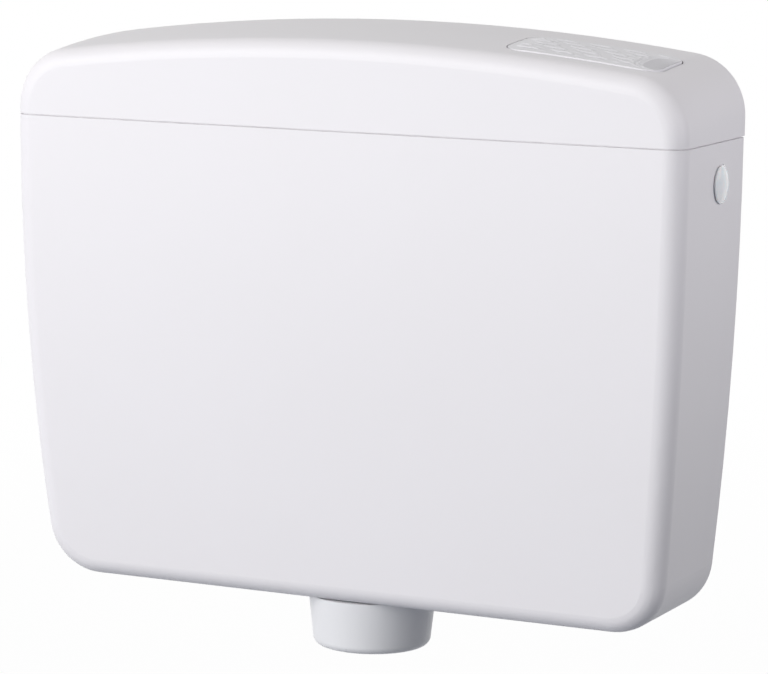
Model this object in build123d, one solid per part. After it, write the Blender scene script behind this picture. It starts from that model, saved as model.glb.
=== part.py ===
# Wall-hung toilet cistern with a push plate in its lid.
# The origin lies in the wall plane, midway between the two fixing holes.
# +X points right seen from the front, +Y into the wall, +Z up. All lengths are millimetres.

import math
import os

from build123d import *

# Outer form of tank and lid
WIDTH = 450.0
DEPTH = 105.0
TANK_HEIGHT = 295.0
LID_RISE = 62.2
FIXING_DROP = 32.0
WALL = 3.2
SIDE_TAPER = 16.7
FRONT_TAPER = 17.6
CORNER_R = 35.0
RIM_R = 12.0
BACK_R = 2.0
DOME_R = 1450.0
CROWN_R = 690.0
SHOULDER_R = 37.0

SEAM_Z = FIXING_DROP
TANK_BOTTOM = SEAM_Z - TANK_HEIGHT
APEX_Z = SEAM_Z + LID_RISE
FLOOR_Z = TANK_BOTTOM + WALL
SIDE_R = (TANK_HEIGHT**2 + SIDE_TAPER**2) / (2 * SIDE_TAPER)
FRONT_R = (TANK_HEIGHT**2 + FRONT_TAPER**2) / (2 * FRONT_TAPER)

# Joint between lid and tank
SHADOW_GAP = 0.8
SHADOW_DEPTH = 1.6
LID_PLAY = 0.6
LIP_THICK = 2.4
LIP_DROP = 7.0
LIP_FOOT = 3.0

# Clearances shared by all fits
PIN_GAP = 0.06
STATIC_GAP = 0.03
GUIDE_GAP = 0.35
REST_GAP = 0.3
OVERRUN = 1.0

# Wall fixings
FIXING_SPACING = 150.0
FIXING_HOLE_R = 3.5
FIXING_BOSS_R = 11.0
FIXING_BOSS_DEEP = 3.0

# Water inlet, one hole in each side of the tank
INLET_Y = -40.0
INLET_Z = 7.0
SHANK_R = 8.33
SHANK_BORE_R = 5.0
SHANK_REACH = 28.0
SHANK_GROOVE = 1.5
SHANK_GROOVE_DEEP = 0.8
SIDE_HOLE_R = 8.6
SIDE_SEAT_DEEP = 0.4
LEFT_SEAT_R = 17.5
RIGHT_SEAT_R = 12.2
SIDE_PAD_R = 16.0
SIDE_PAD_DEEP = 1.5
INLET_NUT_FLATS = 27.0
INLET_NUT_THICK = 6.5
WASHER_THICK = 2.5
WASHER_R = 13.5

# Blanking plug on the unused side
PLUG_R = 11.5
PLUG_HEAD = 3.0
PLUG_EDGE = 1.2
PLUG_STEM = 17.0
PLUG_BORE_R = 5.5
PLUG_NUT_FLATS = 24.0
PLUG_NUT_THICK = 6.0

# Outlet, flush valve seat and flush pipe nut
OUTLET_Y = -43.0
PIPE_R = 25.0
PIPE_PLAY = 0.4
PIPE_BORE_R = PIPE_R + PIPE_PLAY
TAIL_R = 29.5
TAIL_LENGTH = 26.0
OUTLET_HOLE_R = 30.0
OUTLET_PAD_R = 36.5
OUTLET_PAD_RISE = 1.5
GASKET_R = 36.0
GASKET_THICK = 3.0
FLANGE_R = 37.0
FLANGE_THICK = 5.0
SEAT_LIP_R = 28.0
SEAT_LIP_RISE = 3.0
LOCK_NUT_R = 34.5
LOCK_NUT_THICK = 8.0
LOCK_NUT_NOTCH = 7.0
LOCK_NUT_NOTCHES = 6
CUP_TOP_GAP = 0.5
CUP_HEIGHT = 33.0
CUP_TOP_R = 40.3
CUP_R = 36.6
CUP_SKIRT_BORE_R = 35.6
CUP_SKIRT_DEEP = 9.5
CUP_LIP = 4.5
CUP_EDGE_R = 5.0

# Guide cage of the flush valve
CAGE_R = 36.5
CAGE_BORE_R = 33.0
CAGE_BASE = 5.0
CAGE_TALL = 98.3
CAGE_PLATE = 4.0
CAGE_WINDOW = 44.0
CAGE_BOSS_R = 18.0
CAGE_BOSS_UP = 4.0
CAGE_BOSS_DOWN = 10.0
CAGE_VENT_R = 4.0
CAGE_VENT_PITCH_R = 25.5
CAGE_VENTS = 8

# Moving flush valve and its overflow tube
SEAL_R = 30.5
SEAL_BORE_R = 22.0
VALVE_SEAL_THICK = 3.0
DISC_THICK = 4.0
DISC_HUB_R = 18.0
DISC_HUB_RISE = 8.0
TUBE_R = 14.0
TUBE_BORE_R = 12.0
OVERFLOW_DROP = 22.0
FLOAT_RING_R = 25.0
FLOAT_RING_TALL = 40.0
FLOAT_RING_EDGE = 4.0
SPIDER_HUB_R = 6.0
SPIDER_ARM = 3.0
SPIDER_ARMS = 3
SPIDER_TALL = 10.0
LIFT_ROD_R = 3.0
LIFT_ROD_SPARE = 13.0
LIFT_NUT_FLATS = 17.0
LIFT_NUT_THICK = 5.0

# Rocker lever and the bridge that carries it
PRESS_ARM = 60.0
PIVOT_Z = 2.0
PIVOT_PIN_R = 2.5
PIVOT_HEAD_R = 4.2
PIVOT_HEAD = 1.6
LEVER_WIDE = 7.0
LEVER_TALL = 9.0
LEVER_RISE = 3.0
LEVER_HUB_R = 6.5
LEVER_HUB_LONG = 12.0
LEVER_TAIL = 10.0
LEVER_STRAIGHT = 42.0
FORK_YOKE_X = 20.0
FORK_REACH = 11.0
FORK_GAP = 11.0
FORK_PRONG = 4.5
BUMP_R = 4.0
BUMP_RISE = 1.6
BRIDGE_WIDE = 32.0
BRIDGE_DROP = 16.0
BRIDGE_THICK = 3.0
BRIDGE_END_GAP = 0.6
BRIDGE_RIB = 3.5
BRIDGE_RIB_THICK = 2.0
LUG_THICK = 3.0
LUG_SIDE_PLAY = 0.5
LEDGE_DEEP = 12.0
LEDGE_LIP = 5.0
LEDGE_ROOT = 20.0
SCREW_R = 2.0
SCREW_HEAD_R = 4.0
SCREW_HEAD = 2.4
SCREW_LONG = 11.0
SCREW_INSET = 7.0

# Push plate in the lid, hinged at its inner end
PLATE_LONG = 99.0
PLATE_WIDE = 51.0
PLATE_END_INSET = 25.0
PLATE_FRONT_INSET = 20.0
PRESS_INSET = 20.0
PLATE_CORNER = 12.0
PLATE_THICK = 3.2
PLATE_GAP = 0.9
PLATE_EDGE_R = 0.8
DISH_R = 248.6
DISH_DEEP = 1.6
DISH_LEAN_OUT = 22.0
DISH_LEAN_FORWARD = 6.1
HINGE_INSET = 5.0
HINGE_DEEP = 8.0
HINGE_PIN_R = 2.0
HINGE_LUG_R = 4.2
HINGE_LUG_OUT = 20.0
HINGE_LUG_IN = 15.5
HINGE_LUG_THICK = 3.0
HINGE_PIN_HALF = 22.5
PAD_DEEP = 1.2
PAD_R = 7.0
PLATE_RIB = 2.0
PLATE_RIB_TALL = 5.0
PLATE_RIB_OFFSETS = (-17.0, 17.0)
WELL_DEEP = 16.8
WELL_WALL = 2.4

# Push rod with its return spring and adjusting foot
SPRING_CUP_R = 10.5
SPRING_CUP_DEEP = 13.5
SLEEVE_R = 7.0
SLEEVE_LONG = 8.0
ROD_R = 4.0
ROD_HEAD_R = 9.0
ROD_HEAD = 2.7
ROD_DOME_R = 24.0
ROD_BORE_DEEP = 15.0
FOOT_STEM_R = 2.5
FOOT_R = 6.0
FOOT_THICK = 3.0
ROD_NUT_FLATS = 13.0
ROD_NUT_THICK = 4.0
SPRING_WIRE_R = 0.6
SPRING_MEAN_R = 6.8
SPRING_TURNS = 7

# Fill valve on the left
VALVE_FLANGE_R = 14.0
VALVE_FLANGE = 4.0
BARREL_R = 9.5
BARREL_LONG = 39.8
HOUSING_R = 12.0
HOUSING_LONG = 28.0
HOUSING_END = 2.0
CHAMBER_R = 8.5
NOZZLE_R = 4.5
NOZZLE_BORE_R = 2.5
NOZZLE_LONG = 4.0
PORT_R = 6.0
PORT_BORE_R = 4.0
PORT_DROP = 22.0
SILENCER_R = 8.0
SILENCER_DROP = 14.0
SILENCER_CLEAR = 34.8
CAP_R = 14.5
CAP_SKIRT = 8.0
CAP_END = 4.0
CAP_GRIP_R = 1.2
CAP_GRIPS = 12
PLUNGER_R = 7.6
PLUNGER_THICK = 7.5
STEM_R = 4.0
VALVE_WASHER_R = 6.5
VALVE_WASHER_THICK = 3.0

# Float lever, rod and cup
ARM_PIN_OUT = 12.0
ARM_PIN_DROP = 13.0
ARM_PIN_R = 2.0
ARM_HUB_R = 5.0
ARM_WIDE = 8.0
ARM_TALL = 6.0
ARM_LONG = 62.0
ARM_DROOP = 10.0
ARM_SWING = 12.0
ARM_LUG_THICK = 3.0
NOSE_R = 3.2
NOSE_BACK = 1.8
EYE_R = 7.0
EYE_TALL = 9.0
FLOAT_ROD_R = 3.0
FLOAT_ROD_SPARE = 5.0
FLOAT_HANG = 38.0
CUP_FLOAT_R = 22.0
CUP_FLOAT_TALL = 50.0
CUP_FLOAT_WALL = 2.0
CUP_FLOAT_EDGE = 5.0
CUP_TUBE_R = 6.0
ROD_HEX_FLATS = 11.0
ROD_HEX_THICK = 4.0

FULL_TURN = 360.0
STEEP_LEAN = math.radians(20.0)

nodes = {}


# Basic shapes

def sagitta(radius, run):
    return radius - math.sqrt(radius * radius - run * run)


def drum_z(radius, low, high, x=0, y=0):
    return Pos(x, y, low) * extrude(Circle(radius), high - low)


def drum_x(radius, low, high, y, z):
    return Pos(low, y, z) * extrude(Plane.YZ * Circle(radius), high - low)


def drum_y(radius, low, high, x, z):
    return Pos(x, high, z) * extrude(Plane.XZ * Circle(radius), high - low)


def block(x_span, y_span, z_span):
    low = [min(span) for span in (x_span, y_span, z_span)]
    size = [max(span) - min(span) for span in (x_span, y_span, z_span)]
    return Pos(*low) * Box(*size, align=(Align.MIN, Align.MIN, Align.MIN))


def around(centre, half):
    return (centre - half, centre + half)


def hexagon_z(flats, low, high, x, y):
    outline = RegularPolygon(flats / 2, side_count=6, major_radius=False)
    return Pos(x, y, low) * extrude(outline, high - low)


def hexagon_x(flats, low, high, y, z):
    outline = RegularPolygon(flats / 2, side_count=6, major_radius=False)
    return Pos(low, y, z) * extrude(Plane.YZ * outline, high - low)


def turned_z(outline, x, y):
    """Revolve a closed outline of (radius, height) pairs about an upright axis."""
    face = make_face(Plane.XZ * Polyline(*outline, close=True))
    return Pos(x, y, 0) * revolve(face, Axis.Z)


def turned_x(outline, y, z):
    """Revolve a closed outline of (x, radius) pairs about a level axis along X."""
    face = make_face(Plane.XZ * Polyline(*outline, close=True))
    return Pos(0, y, z) * revolve(face, Axis.X)


# Places that follow from the plate's place in the lid and from the lid's curvature

def lid_height(x, y):
    """Height of the lid's outer surface over a point inside its edge roundings."""
    centre_x = WIDTH / 2 - SHOULDER_R
    dome_z = APEX_Z - DOME_R
    centre_z = dome_z + math.sqrt((DOME_R - SHOULDER_R) ** 2 - centre_x**2)
    if x * (DOME_R - SHOULDER_R) < centre_x * DOME_R:
        ridge = dome_z + math.sqrt(DOME_R**2 - x**2)
    else:
        ridge = centre_z + math.sqrt(SHOULDER_R**2 - (x - centre_x) ** 2)
    return ridge - sagitta(ridge - APEX_Z + CROWN_R, y)


PLATE_X = WIDTH / 2 - PLATE_END_INSET - PLATE_LONG / 2
PLATE_Y = -DEPTH + PLATE_FRONT_INSET + PLATE_WIDE / 2
PLATE_END = PLATE_X + PLATE_LONG / 2
PLATE_FRONT = PLATE_Y - PLATE_WIDE / 2
PRESS_X = PLATE_END - PRESS_INSET
PRESS_Y = PLATE_Y
ROD_SPOT = (PRESS_X, PRESS_Y)
HINGE_X = PLATE_X - PLATE_LONG / 2 + HINGE_INSET
HINGE_Z = lid_height(HINGE_X, PLATE_FRONT) - HINGE_DEEP
PAD_Z = lid_height(PRESS_X, PRESS_Y) - PLATE_THICK - PAD_DEEP
WELL_FLOOR = lid_height(PLATE_END, PLATE_FRONT) - WELL_DEEP
SPRING_CUP_Z = WELL_FLOOR - SPRING_CUP_DEEP
SLEEVE_LOW = SPRING_CUP_Z - SLEEVE_LONG
PIVOT_X = PRESS_X - PRESS_ARM
LEVER_TOP = PIVOT_Z + LEVER_RISE
BRIDGE_Z = PIVOT_Z - BRIDGE_DROP


# Moulded forms of tank and lid, each inset from the outer skin by a given amount

def tank_form(inset):
    half = WIDTH / 2 - inset
    bottom = TANK_BOTTOM + inset
    drop = SEAM_Z - bottom
    middle = SEAM_Z - drop / 2
    waist = half - sagitta(SIDE_R - inset, drop / 2)
    foot = half - sagitta(SIDE_R - inset, drop)
    outline = Line((-half, SEAM_Z), (half, SEAM_Z))
    outline += ThreePointArc((half, SEAM_Z), (waist, middle), (foot, bottom))
    outline += Line((foot, bottom), (-foot, bottom))
    outline += ThreePointArc((-foot, bottom), (-waist, middle), (-half, SEAM_Z))
    elevation = make_face(Plane.XZ * outline)
    lower = [v for v in elevation.vertices() if v.Z < middle]
    elevation = fillet(lower, CORNER_R - inset)
    across = extrude(elevation, amount=DEPTH, dir=(0, -1, 0))

    front = -DEPTH + inset
    belly = front + sagitta(FRONT_R - inset, drop / 2)
    toe = front + sagitta(FRONT_R - inset, drop)
    profile = Polyline((toe, bottom), (-inset, bottom), (-inset, SEAM_Z), (front, SEAM_Z))
    profile += ThreePointArc((front, SEAM_Z), (belly, middle), (toe, bottom))
    lengthwise = extrude(make_face(Plane.YZ * profile), amount=WIDTH / 2, both=True)

    form = across & lengthwise
    rim = [e for e in form.edges() if e.center().Y < -DEPTH / 2 and e.center().Z < SEAM_Z - OVERRUN]
    rim = [e for e in rim if all(v.Y < -DEPTH / 2 for v in e.vertices())]
    return fillet(rim, RIM_R - inset)


def lid_form(inset, low):
    half = WIDTH / 2 - inset
    top = APEX_Z - inset
    dome = DOME_R - inset
    shoulder = SHOULDER_R - inset
    centre_x = half - shoulder
    dome_z = top - dome
    centre_z = dome_z + math.sqrt((dome - shoulder) ** 2 - centre_x**2)
    reach = dome / (dome - shoulder)
    meet = (centre_x * reach, dome_z + (centre_z - dome_z) * reach)
    lean = math.atan2(meet[1] - centre_z, meet[0] - centre_x) / 2
    bend = (centre_x + shoulder * math.cos(lean), centre_z + shoulder * math.sin(lean))
    skirt = SEAM_Z - SHOULDER_R
    outline = Polyline((-half, centre_z), (-half, skirt), (half, skirt), (half, centre_z))
    outline += ThreePointArc((half, centre_z), bend, meet)
    outline += ThreePointArc(meet, (0, top), (-meet[0], meet[1]))
    outline += ThreePointArc((-meet[0], meet[1]), (-bend[0], bend[1]), (-half, centre_z))
    axis = Axis((0, 0, APEX_Z - CROWN_R), (1, 0, 0))
    sweep_angle = math.degrees(math.asin(DEPTH / (CROWN_R - LID_RISE - SHOULDER_R)))
    crowned = revolve(make_face(Plane.XZ * outline), axis, sweep_angle)
    slab = block((-half, half), (-DEPTH + inset, -inset), (low, APEX_Z + OVERRUN))
    form = crowned & slab
    rim = [e for e in form.edges() if all(v.Y < -DEPTH / 2 for v in e.vertices())]
    rim = [e for e in rim if e.center().Z > low + OVERRUN]
    return fillet(rim, RIM_R - inset)


def plan_slab(inset, low, high):
    """Upright slab with the plan of the seam: square at the wall, rounded in front."""
    half = WIDTH / 2 - inset
    slab = block((-half, half), (-DEPTH + inset, -inset), (low, high))
    upright = [e for e in slab.edges().filter_by(Axis.Z) if e.center().Y < -DEPTH / 2]
    return fillet(upright, RIM_R - inset)


# Tank

tank = tank_form(0)
back_edges = [e for e in tank.edges() if all(abs(v.Y) < STATIC_GAP for v in e.vertices())]
back_edges = [e for e in back_edges if e.center().Z < SEAM_Z - OVERRUN]
tank = fillet(back_edges, BACK_R)
cavity = tank_form(WALL)
tank -= cavity

PAD_TOP = FLOOR_Z + OUTLET_PAD_RISE
tank += drum_z(OUTLET_PAD_R, FLOOR_Z - OVERRUN, PAD_TOP, 0, OUTLET_Y)

for side in (-1, 1):
    fixing_x = side * FIXING_SPACING / 2
    tank += drum_y(FIXING_BOSS_R, -WALL - FIXING_BOSS_DEEP, -WALL / 2, fixing_x, 0)
    tank -= drum_y(FIXING_HOLE_R, -WALL - FIXING_BOSS_DEEP - OVERRUN, OVERRUN, fixing_x, 0)

SIDE_SEAT_X = WIDTH / 2 - SIDE_SEAT_DEEP
SIDE_PAD_X = WIDTH / 2 - WALL - SIDE_PAD_DEEP
for side, seat_r in ((-1, LEFT_SEAT_R), (1, RIGHT_SEAT_R)):
    pad = sorted((side * SIDE_PAD_X, side * (WIDTH / 2 - WALL / 2)))
    seat = sorted((side * SIDE_SEAT_X, side * (WIDTH / 2 + OVERRUN)))
    hole = sorted((side * (SIDE_PAD_X - OVERRUN), side * (WIDTH / 2 + OVERRUN)))
    tank += drum_x(SIDE_PAD_R, *pad, INLET_Y, INLET_Z)
    tank -= drum_x(seat_r, *seat, INLET_Y, INLET_Z)
    tank -= drum_x(SIDE_HOLE_R, *hole, INLET_Y, INLET_Z)


def ledge(wall_y, inward):
    """Gusseted shelf on a tank wall that carries one end of the bridge."""
    tip = wall_y + inward * LEDGE_DEEP
    outline = Polyline(
        (wall_y - inward * WALL / 2, BRIDGE_Z),
        (tip, BRIDGE_Z),
        (tip, BRIDGE_Z - LEDGE_LIP),
        (wall_y - inward * WALL / 2, BRIDGE_Z - LEDGE_ROOT),
        close=True,
    )
    shelf = extrude(Plane.YZ * make_face(outline), amount=BRIDGE_WIDE, dir=(1, 0, 0))
    shelf = Pos(PIVOT_X - BRIDGE_WIDE / 2, 0, 0) * shelf
    screw_y = wall_y + inward * SCREW_INSET
    pilot = drum_z(SCREW_R + STATIC_GAP, BRIDGE_Z - SCREW_LONG, BRIDGE_Z + OVERRUN, PIVOT_X, screw_y)
    return shelf, pilot, screw_y


FRONT_WALL_Y = -DEPTH + WALL + sagitta(FRONT_R, SEAM_Z - BRIDGE_Z)
screw_spots = []
for wall_y, inward in ((-WALL, -1), (FRONT_WALL_Y, 1)):
    shelf, pilot, screw_y = ledge(wall_y, inward)
    tank += shelf
    tank -= pilot
    screw_spots.append(screw_y)

tank -= drum_z(OUTLET_HOLE_R, TANK_BOTTOM - OVERRUN, PAD_TOP + OVERRUN, 0, OUTLET_Y)
nodes["tank_body"] = tank

# Lid with the well for the push plate

lid_skin = lid_form(0, SEAM_Z)
lid = lid_skin - lid_form(WALL, SEAM_Z - OVERRUN)
foot_ring = plan_slab(SHADOW_DEPTH, SEAM_Z, SEAM_Z + LIP_FOOT)
foot_ring -= plan_slab(WALL + LID_PLAY + LIP_THICK, SEAM_Z - OVERRUN, SEAM_Z + LIP_FOOT + OVERRUN)
lip = plan_slab(WALL + LID_PLAY, SEAM_Z - LIP_DROP, SEAM_Z + LIP_FOOT)
lip -= plan_slab(WALL + LID_PLAY + LIP_THICK, SEAM_Z - LIP_DROP - OVERRUN, SEAM_Z + LIP_FOOT + OVERRUN)
shadow = plan_slab(-OVERRUN, SEAM_Z - OVERRUN, SEAM_Z + SHADOW_GAP)
shadow -= plan_slab(SHADOW_DEPTH, SEAM_Z - OVERRUN - OVERRUN, SEAM_Z + SHADOW_GAP + OVERRUN)
lid += foot_ring
lid += lip
lid -= shadow


def plate_prism(grow, low, high):
    """Upright prism with the rounded plan of the push plate, grown on all sides."""
    plan = RectangleRounded(PLATE_LONG + 2 * grow, PLATE_WIDE + 2 * grow, PLATE_CORNER + grow)
    return Pos(PLATE_X, PLATE_Y, low) * extrude(plan, high - low)


well = plate_prism(PLATE_GAP + WELL_WALL, WELL_FLOOR - WELL_WALL, APEX_Z) & lid_skin
lid += well
lid -= plate_prism(PLATE_GAP, WELL_FLOOR, APEX_Z + OVERRUN)
lid += drum_z(SPRING_CUP_R + WELL_WALL, SPRING_CUP_Z - WELL_WALL, WELL_FLOOR, *ROD_SPOT)
lid -= drum_z(SPRING_CUP_R, SPRING_CUP_Z, WELL_FLOOR + OVERRUN, *ROD_SPOT)
lid += drum_z(SLEEVE_R, SLEEVE_LOW, SPRING_CUP_Z, *ROD_SPOT)
lid -= drum_z(ROD_R + GUIDE_GAP, SLEEVE_LOW - OVERRUN, SPRING_CUP_Z + OVERRUN, *ROD_SPOT)


def hinge_ear(offset, root_z, bore_r):
    """Ear with a round eye on the plate hinge axis, rooted in the well floor or the plate."""
    span = around(PLATE_Y + offset, HINGE_LUG_THICK / 2)
    eye = drum_y(HINGE_LUG_R, *span, HINGE_X, HINGE_Z)
    eye += block(around(HINGE_X, HINGE_LUG_R), span, (root_z, HINGE_Z))
    bore = drum_y(bore_r, span[0] - OVERRUN, span[1] + OVERRUN, HINGE_X, HINGE_Z)
    return eye, bore


for side in (-1, 1):
    ear, bore = hinge_ear(side * HINGE_LUG_OUT, WELL_FLOOR, HINGE_PIN_R + STATIC_GAP)
    lid += ear
    lid -= bore
nodes["lid"] = lid

# Push plate, a slice of the lid's own double curvature with a dished finger end


def upper_rim(shape):
    """Edges where the upper faces of a flat-lying shape meet its upright sides."""
    walls = [f for f in shape.faces() if abs(f.normal_at(f.center()).Z) < math.sin(STEEP_LEAN)]
    tops = [f for f in shape.faces() if f.normal_at(f.center()).Z > math.sin(STEEP_LEAN)]
    spots = {tuple(round(c, 3) for c in e.center()) for f in walls for e in f.edges()}
    return [e for f in tops for e in f.edges() if tuple(round(c, 3) for c in e.center()) in spots]


plate = plate_prism(0, WELL_FLOOR, APEX_Z + OVERRUN) & (lid_skin - lid_form(PLATE_THICK, SEAM_Z - OVERRUN))
plate = fillet(upper_rim(plate), PLATE_EDGE_R)
dish_spot = Pos(PLATE_END, PLATE_Y, lid_height(PLATE_END, PLATE_Y) - DISH_DEEP)
plate -= dish_spot * Rot(DISH_LEAN_FORWARD, DISH_LEAN_OUT, 0) * Pos(0, 0, DISH_R) * Sphere(DISH_R)
under_skin = lid_form(PLATE_THICK / 2, SEAM_Z - OVERRUN)
pad = drum_z(PAD_R, PAD_Z, APEX_Z, *ROD_SPOT) & under_skin
plate += pad
for offset in PLATE_RIB_OFFSETS:
    rib_span = around(PLATE_Y + offset, PLATE_RIB / 2)
    rib = block((HINGE_X, PRESS_X + PAD_R), rib_span, (HINGE_Z - HINGE_LUG_R, APEX_Z)) & under_skin
    rib &= lid_skin - lid_form(PLATE_THICK + PLATE_RIB_TALL, SEAM_Z - OVERRUN)
    plate += rib
for side in (-1, 1):
    ear, bore = hinge_ear(side * HINGE_LUG_IN, APEX_Z, HINGE_PIN_R + PIN_GAP)
    plate += ear & under_skin
    plate -= bore
nodes["push_plate"] = plate

nodes["plate_hinge_pin"] = drum_y(HINGE_PIN_R, *around(PLATE_Y, HINGE_PIN_HALF), HINGE_X, HINGE_Z)

# Push rod, adjusting foot, lock nut and return spring

HEAD_TOP = PAD_Z - REST_GAP
HEAD_LOW = HEAD_TOP - ROD_HEAD
ROD_END = SLEEVE_LOW - REST_GAP
head = drum_z(ROD_HEAD_R, HEAD_LOW, HEAD_TOP, *ROD_SPOT)
head &= Pos(PRESS_X, PRESS_Y, HEAD_TOP - ROD_DOME_R) * Sphere(ROD_DOME_R)
rod = head + drum_z(ROD_R, ROD_END, HEAD_LOW + ROD_HEAD / 2, *ROD_SPOT)
rod -= drum_z(FOOT_STEM_R + STATIC_GAP, ROD_END - OVERRUN, ROD_END + ROD_BORE_DEEP, *ROD_SPOT)
nodes["push_rod"] = rod

BUMP_TOP = LEVER_TOP + BUMP_RISE
FOOT_LOW = BUMP_TOP + REST_GAP
foot = drum_z(FOOT_R, FOOT_LOW, FOOT_LOW + FOOT_THICK, *ROD_SPOT)
foot += drum_z(FOOT_STEM_R, FOOT_LOW, ROD_END + ROD_BORE_DEEP - OVERRUN, *ROD_SPOT)
nodes["push_rod_foot"] = foot

rod_nut = hexagon_z(ROD_NUT_FLATS, ROD_END - ROD_NUT_THICK, ROD_END, *ROD_SPOT)
rod_nut -= drum_z(FOOT_STEM_R + STATIC_GAP, ROD_END - ROD_NUT_THICK - OVERRUN, ROD_END + OVERRUN, *ROD_SPOT)
nodes["push_rod_lock_nut"] = rod_nut

SPRING_LOW = SPRING_CUP_Z + SPRING_WIRE_R
SPRING_HIGH = HEAD_LOW - SPRING_WIRE_R
spring_pitch = (SPRING_HIGH - SPRING_LOW) / SPRING_TURNS
coil = Helix(spring_pitch, SPRING_HIGH - SPRING_LOW, SPRING_MEAN_R)
wire = Plane(origin=coil @ 0, z_dir=coil % 0) * RegularPolygon(SPRING_WIRE_R, side_count=8)
spring = sweep(wire, path=coil, is_frenet=True)
nodes["plate_spring"] = Pos(PRESS_X, PRESS_Y, SPRING_LOW) * spring
print("spring gap between turns, mm:", round(spring_pitch - 2 * SPRING_WIRE_R, 2))

# Bridge with its screws and the rocker's pivot pin

bridge_span = (FRONT_WALL_Y + BRIDGE_END_GAP, -WALL - BRIDGE_END_GAP)
BRIDGE_TOP = BRIDGE_Z + BRIDGE_THICK
bridge = block(around(PIVOT_X, BRIDGE_WIDE / 2), bridge_span, (BRIDGE_Z, BRIDGE_TOP))
for side in (-1, 1):
    rib_x = PIVOT_X + side * (BRIDGE_WIDE - BRIDGE_RIB_THICK) / 2
    bridge += block(around(rib_x, BRIDGE_RIB_THICK / 2), bridge_span, (BRIDGE_Z, BRIDGE_TOP + BRIDGE_RIB))
lug_offset = LEVER_HUB_LONG / 2 + LUG_SIDE_PLAY + LUG_THICK / 2
for side in (-1, 1):
    lug_span = around(PRESS_Y + side * lug_offset, LUG_THICK / 2)
    bridge += drum_y(LEVER_HUB_R, *lug_span, PIVOT_X, PIVOT_Z)
    bridge += block(around(PIVOT_X, LEVER_HUB_R), lug_span, (BRIDGE_Z, PIVOT_Z))
bridge -= drum_y(PIVOT_PIN_R + STATIC_GAP, *bridge_span, PIVOT_X, PIVOT_Z)
for screw_y in screw_spots:
    bridge -= drum_z(SCREW_R + LUG_SIDE_PLAY, BRIDGE_Z - OVERRUN, BRIDGE_TOP + OVERRUN, PIVOT_X, screw_y)
nodes["lever_bridge"] = bridge

screws = []
for screw_y in screw_spots:
    screw = drum_z(SCREW_R, BRIDGE_Z - SCREW_LONG + OVERRUN, BRIDGE_TOP + SCREW_HEAD / 2, PIVOT_X, screw_y)
    screw += drum_z(SCREW_HEAD_R, BRIDGE_TOP, BRIDGE_TOP + SCREW_HEAD, PIVOT_X, screw_y)
    screws.append(screw)
nodes["bridge_screws"] = Compound(children=[part.solid() for part in screws])

pin_span = around(PRESS_Y, lug_offset + LUG_THICK / 2 + PIVOT_HEAD)
pivot_pin = drum_y(PIVOT_PIN_R, *pin_span, PIVOT_X, PIVOT_Z)
pivot_pin += drum_y(PIVOT_HEAD_R, pin_span[0], pin_span[0] + PIVOT_HEAD, PIVOT_X, PIVOT_Z)
nodes["rocker_pivot_pin"] = pivot_pin

# Rocker lever, forked where it lifts the valve rod

LEVER_LOW = LEVER_TOP - LEVER_TALL
plan_line = Polyline(
    (PRESS_X + LEVER_TAIL, PRESS_Y),
    (PIVOT_X - LEVER_HUB_R - LUG_THICK, PRESS_Y),
    (FORK_YOKE_X + LEVER_STRAIGHT, OUTLET_Y),
    (FORK_YOKE_X - LEVER_WIDE / 2, OUTLET_Y),
)
beam_plan = trace(plan_line, LEVER_WIDE)
lever = Pos(0, 0, LEVER_LOW) * extrude(beam_plan, LEVER_TALL)
hub_span = around(PRESS_Y, LEVER_HUB_LONG / 2)
lever += drum_y(LEVER_HUB_R, *hub_span, PIVOT_X, PIVOT_Z)
yoke_half = FORK_GAP / 2 + FORK_PRONG
lever += block((FORK_YOKE_X - LEVER_WIDE, FORK_YOKE_X), around(OUTLET_Y, yoke_half), (LEVER_LOW, LEVER_TOP))
for side in (-1, 1):
    prong_y = OUTLET_Y + side * (FORK_GAP + FORK_PRONG) / 2
    prong_span = around(prong_y, FORK_PRONG / 2)
    lever += block((-FORK_REACH, FORK_YOKE_X), prong_span, (LEVER_LOW, LEVER_TOP))
    lever += drum_y(BUMP_R, *prong_span, 0, BUMP_TOP - BUMP_R)
lever += drum_y(BUMP_R, *around(PRESS_Y, LEVER_WIDE / 2), PRESS_X, BUMP_TOP - BUMP_R)
lever -= drum_y(PIVOT_PIN_R + PIN_GAP, hub_span[0] - OVERRUN, hub_span[1] + OVERRUN, PIVOT_X, PIVOT_Z)
nodes["rocker_lever"] = lever

# Flush valve seat, gasket, lock nut, pipe seal and flush pipe nut

SEAT_BASE = PAD_TOP + GASKET_THICK
SEAT_TOP = SEAT_BASE + FLANGE_THICK
TAIL_END = TANK_BOTTOM - TAIL_LENGTH
gasket = drum_z(GASKET_R, PAD_TOP, SEAT_BASE, 0, OUTLET_Y)
gasket -= drum_z(TAIL_R + STATIC_GAP, PAD_TOP - OVERRUN, SEAT_BASE + OVERRUN, 0, OUTLET_Y)
nodes["outlet_gasket"] = gasket

nodes["flush_valve_seat"] = turned_z([
    (PIPE_BORE_R, TAIL_END),
    (TAIL_R, TAIL_END),
    (TAIL_R, SEAT_BASE),
    (FLANGE_R, SEAT_BASE),
    (FLANGE_R, SEAT_TOP),
    (SEAT_LIP_R, SEAT_TOP),
    (PIPE_BORE_R + OVERRUN, SEAT_TOP + SEAT_LIP_RISE),
    (PIPE_BORE_R, SEAT_TOP + SEAT_LIP_RISE),
], 0, OUTLET_Y)

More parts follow.
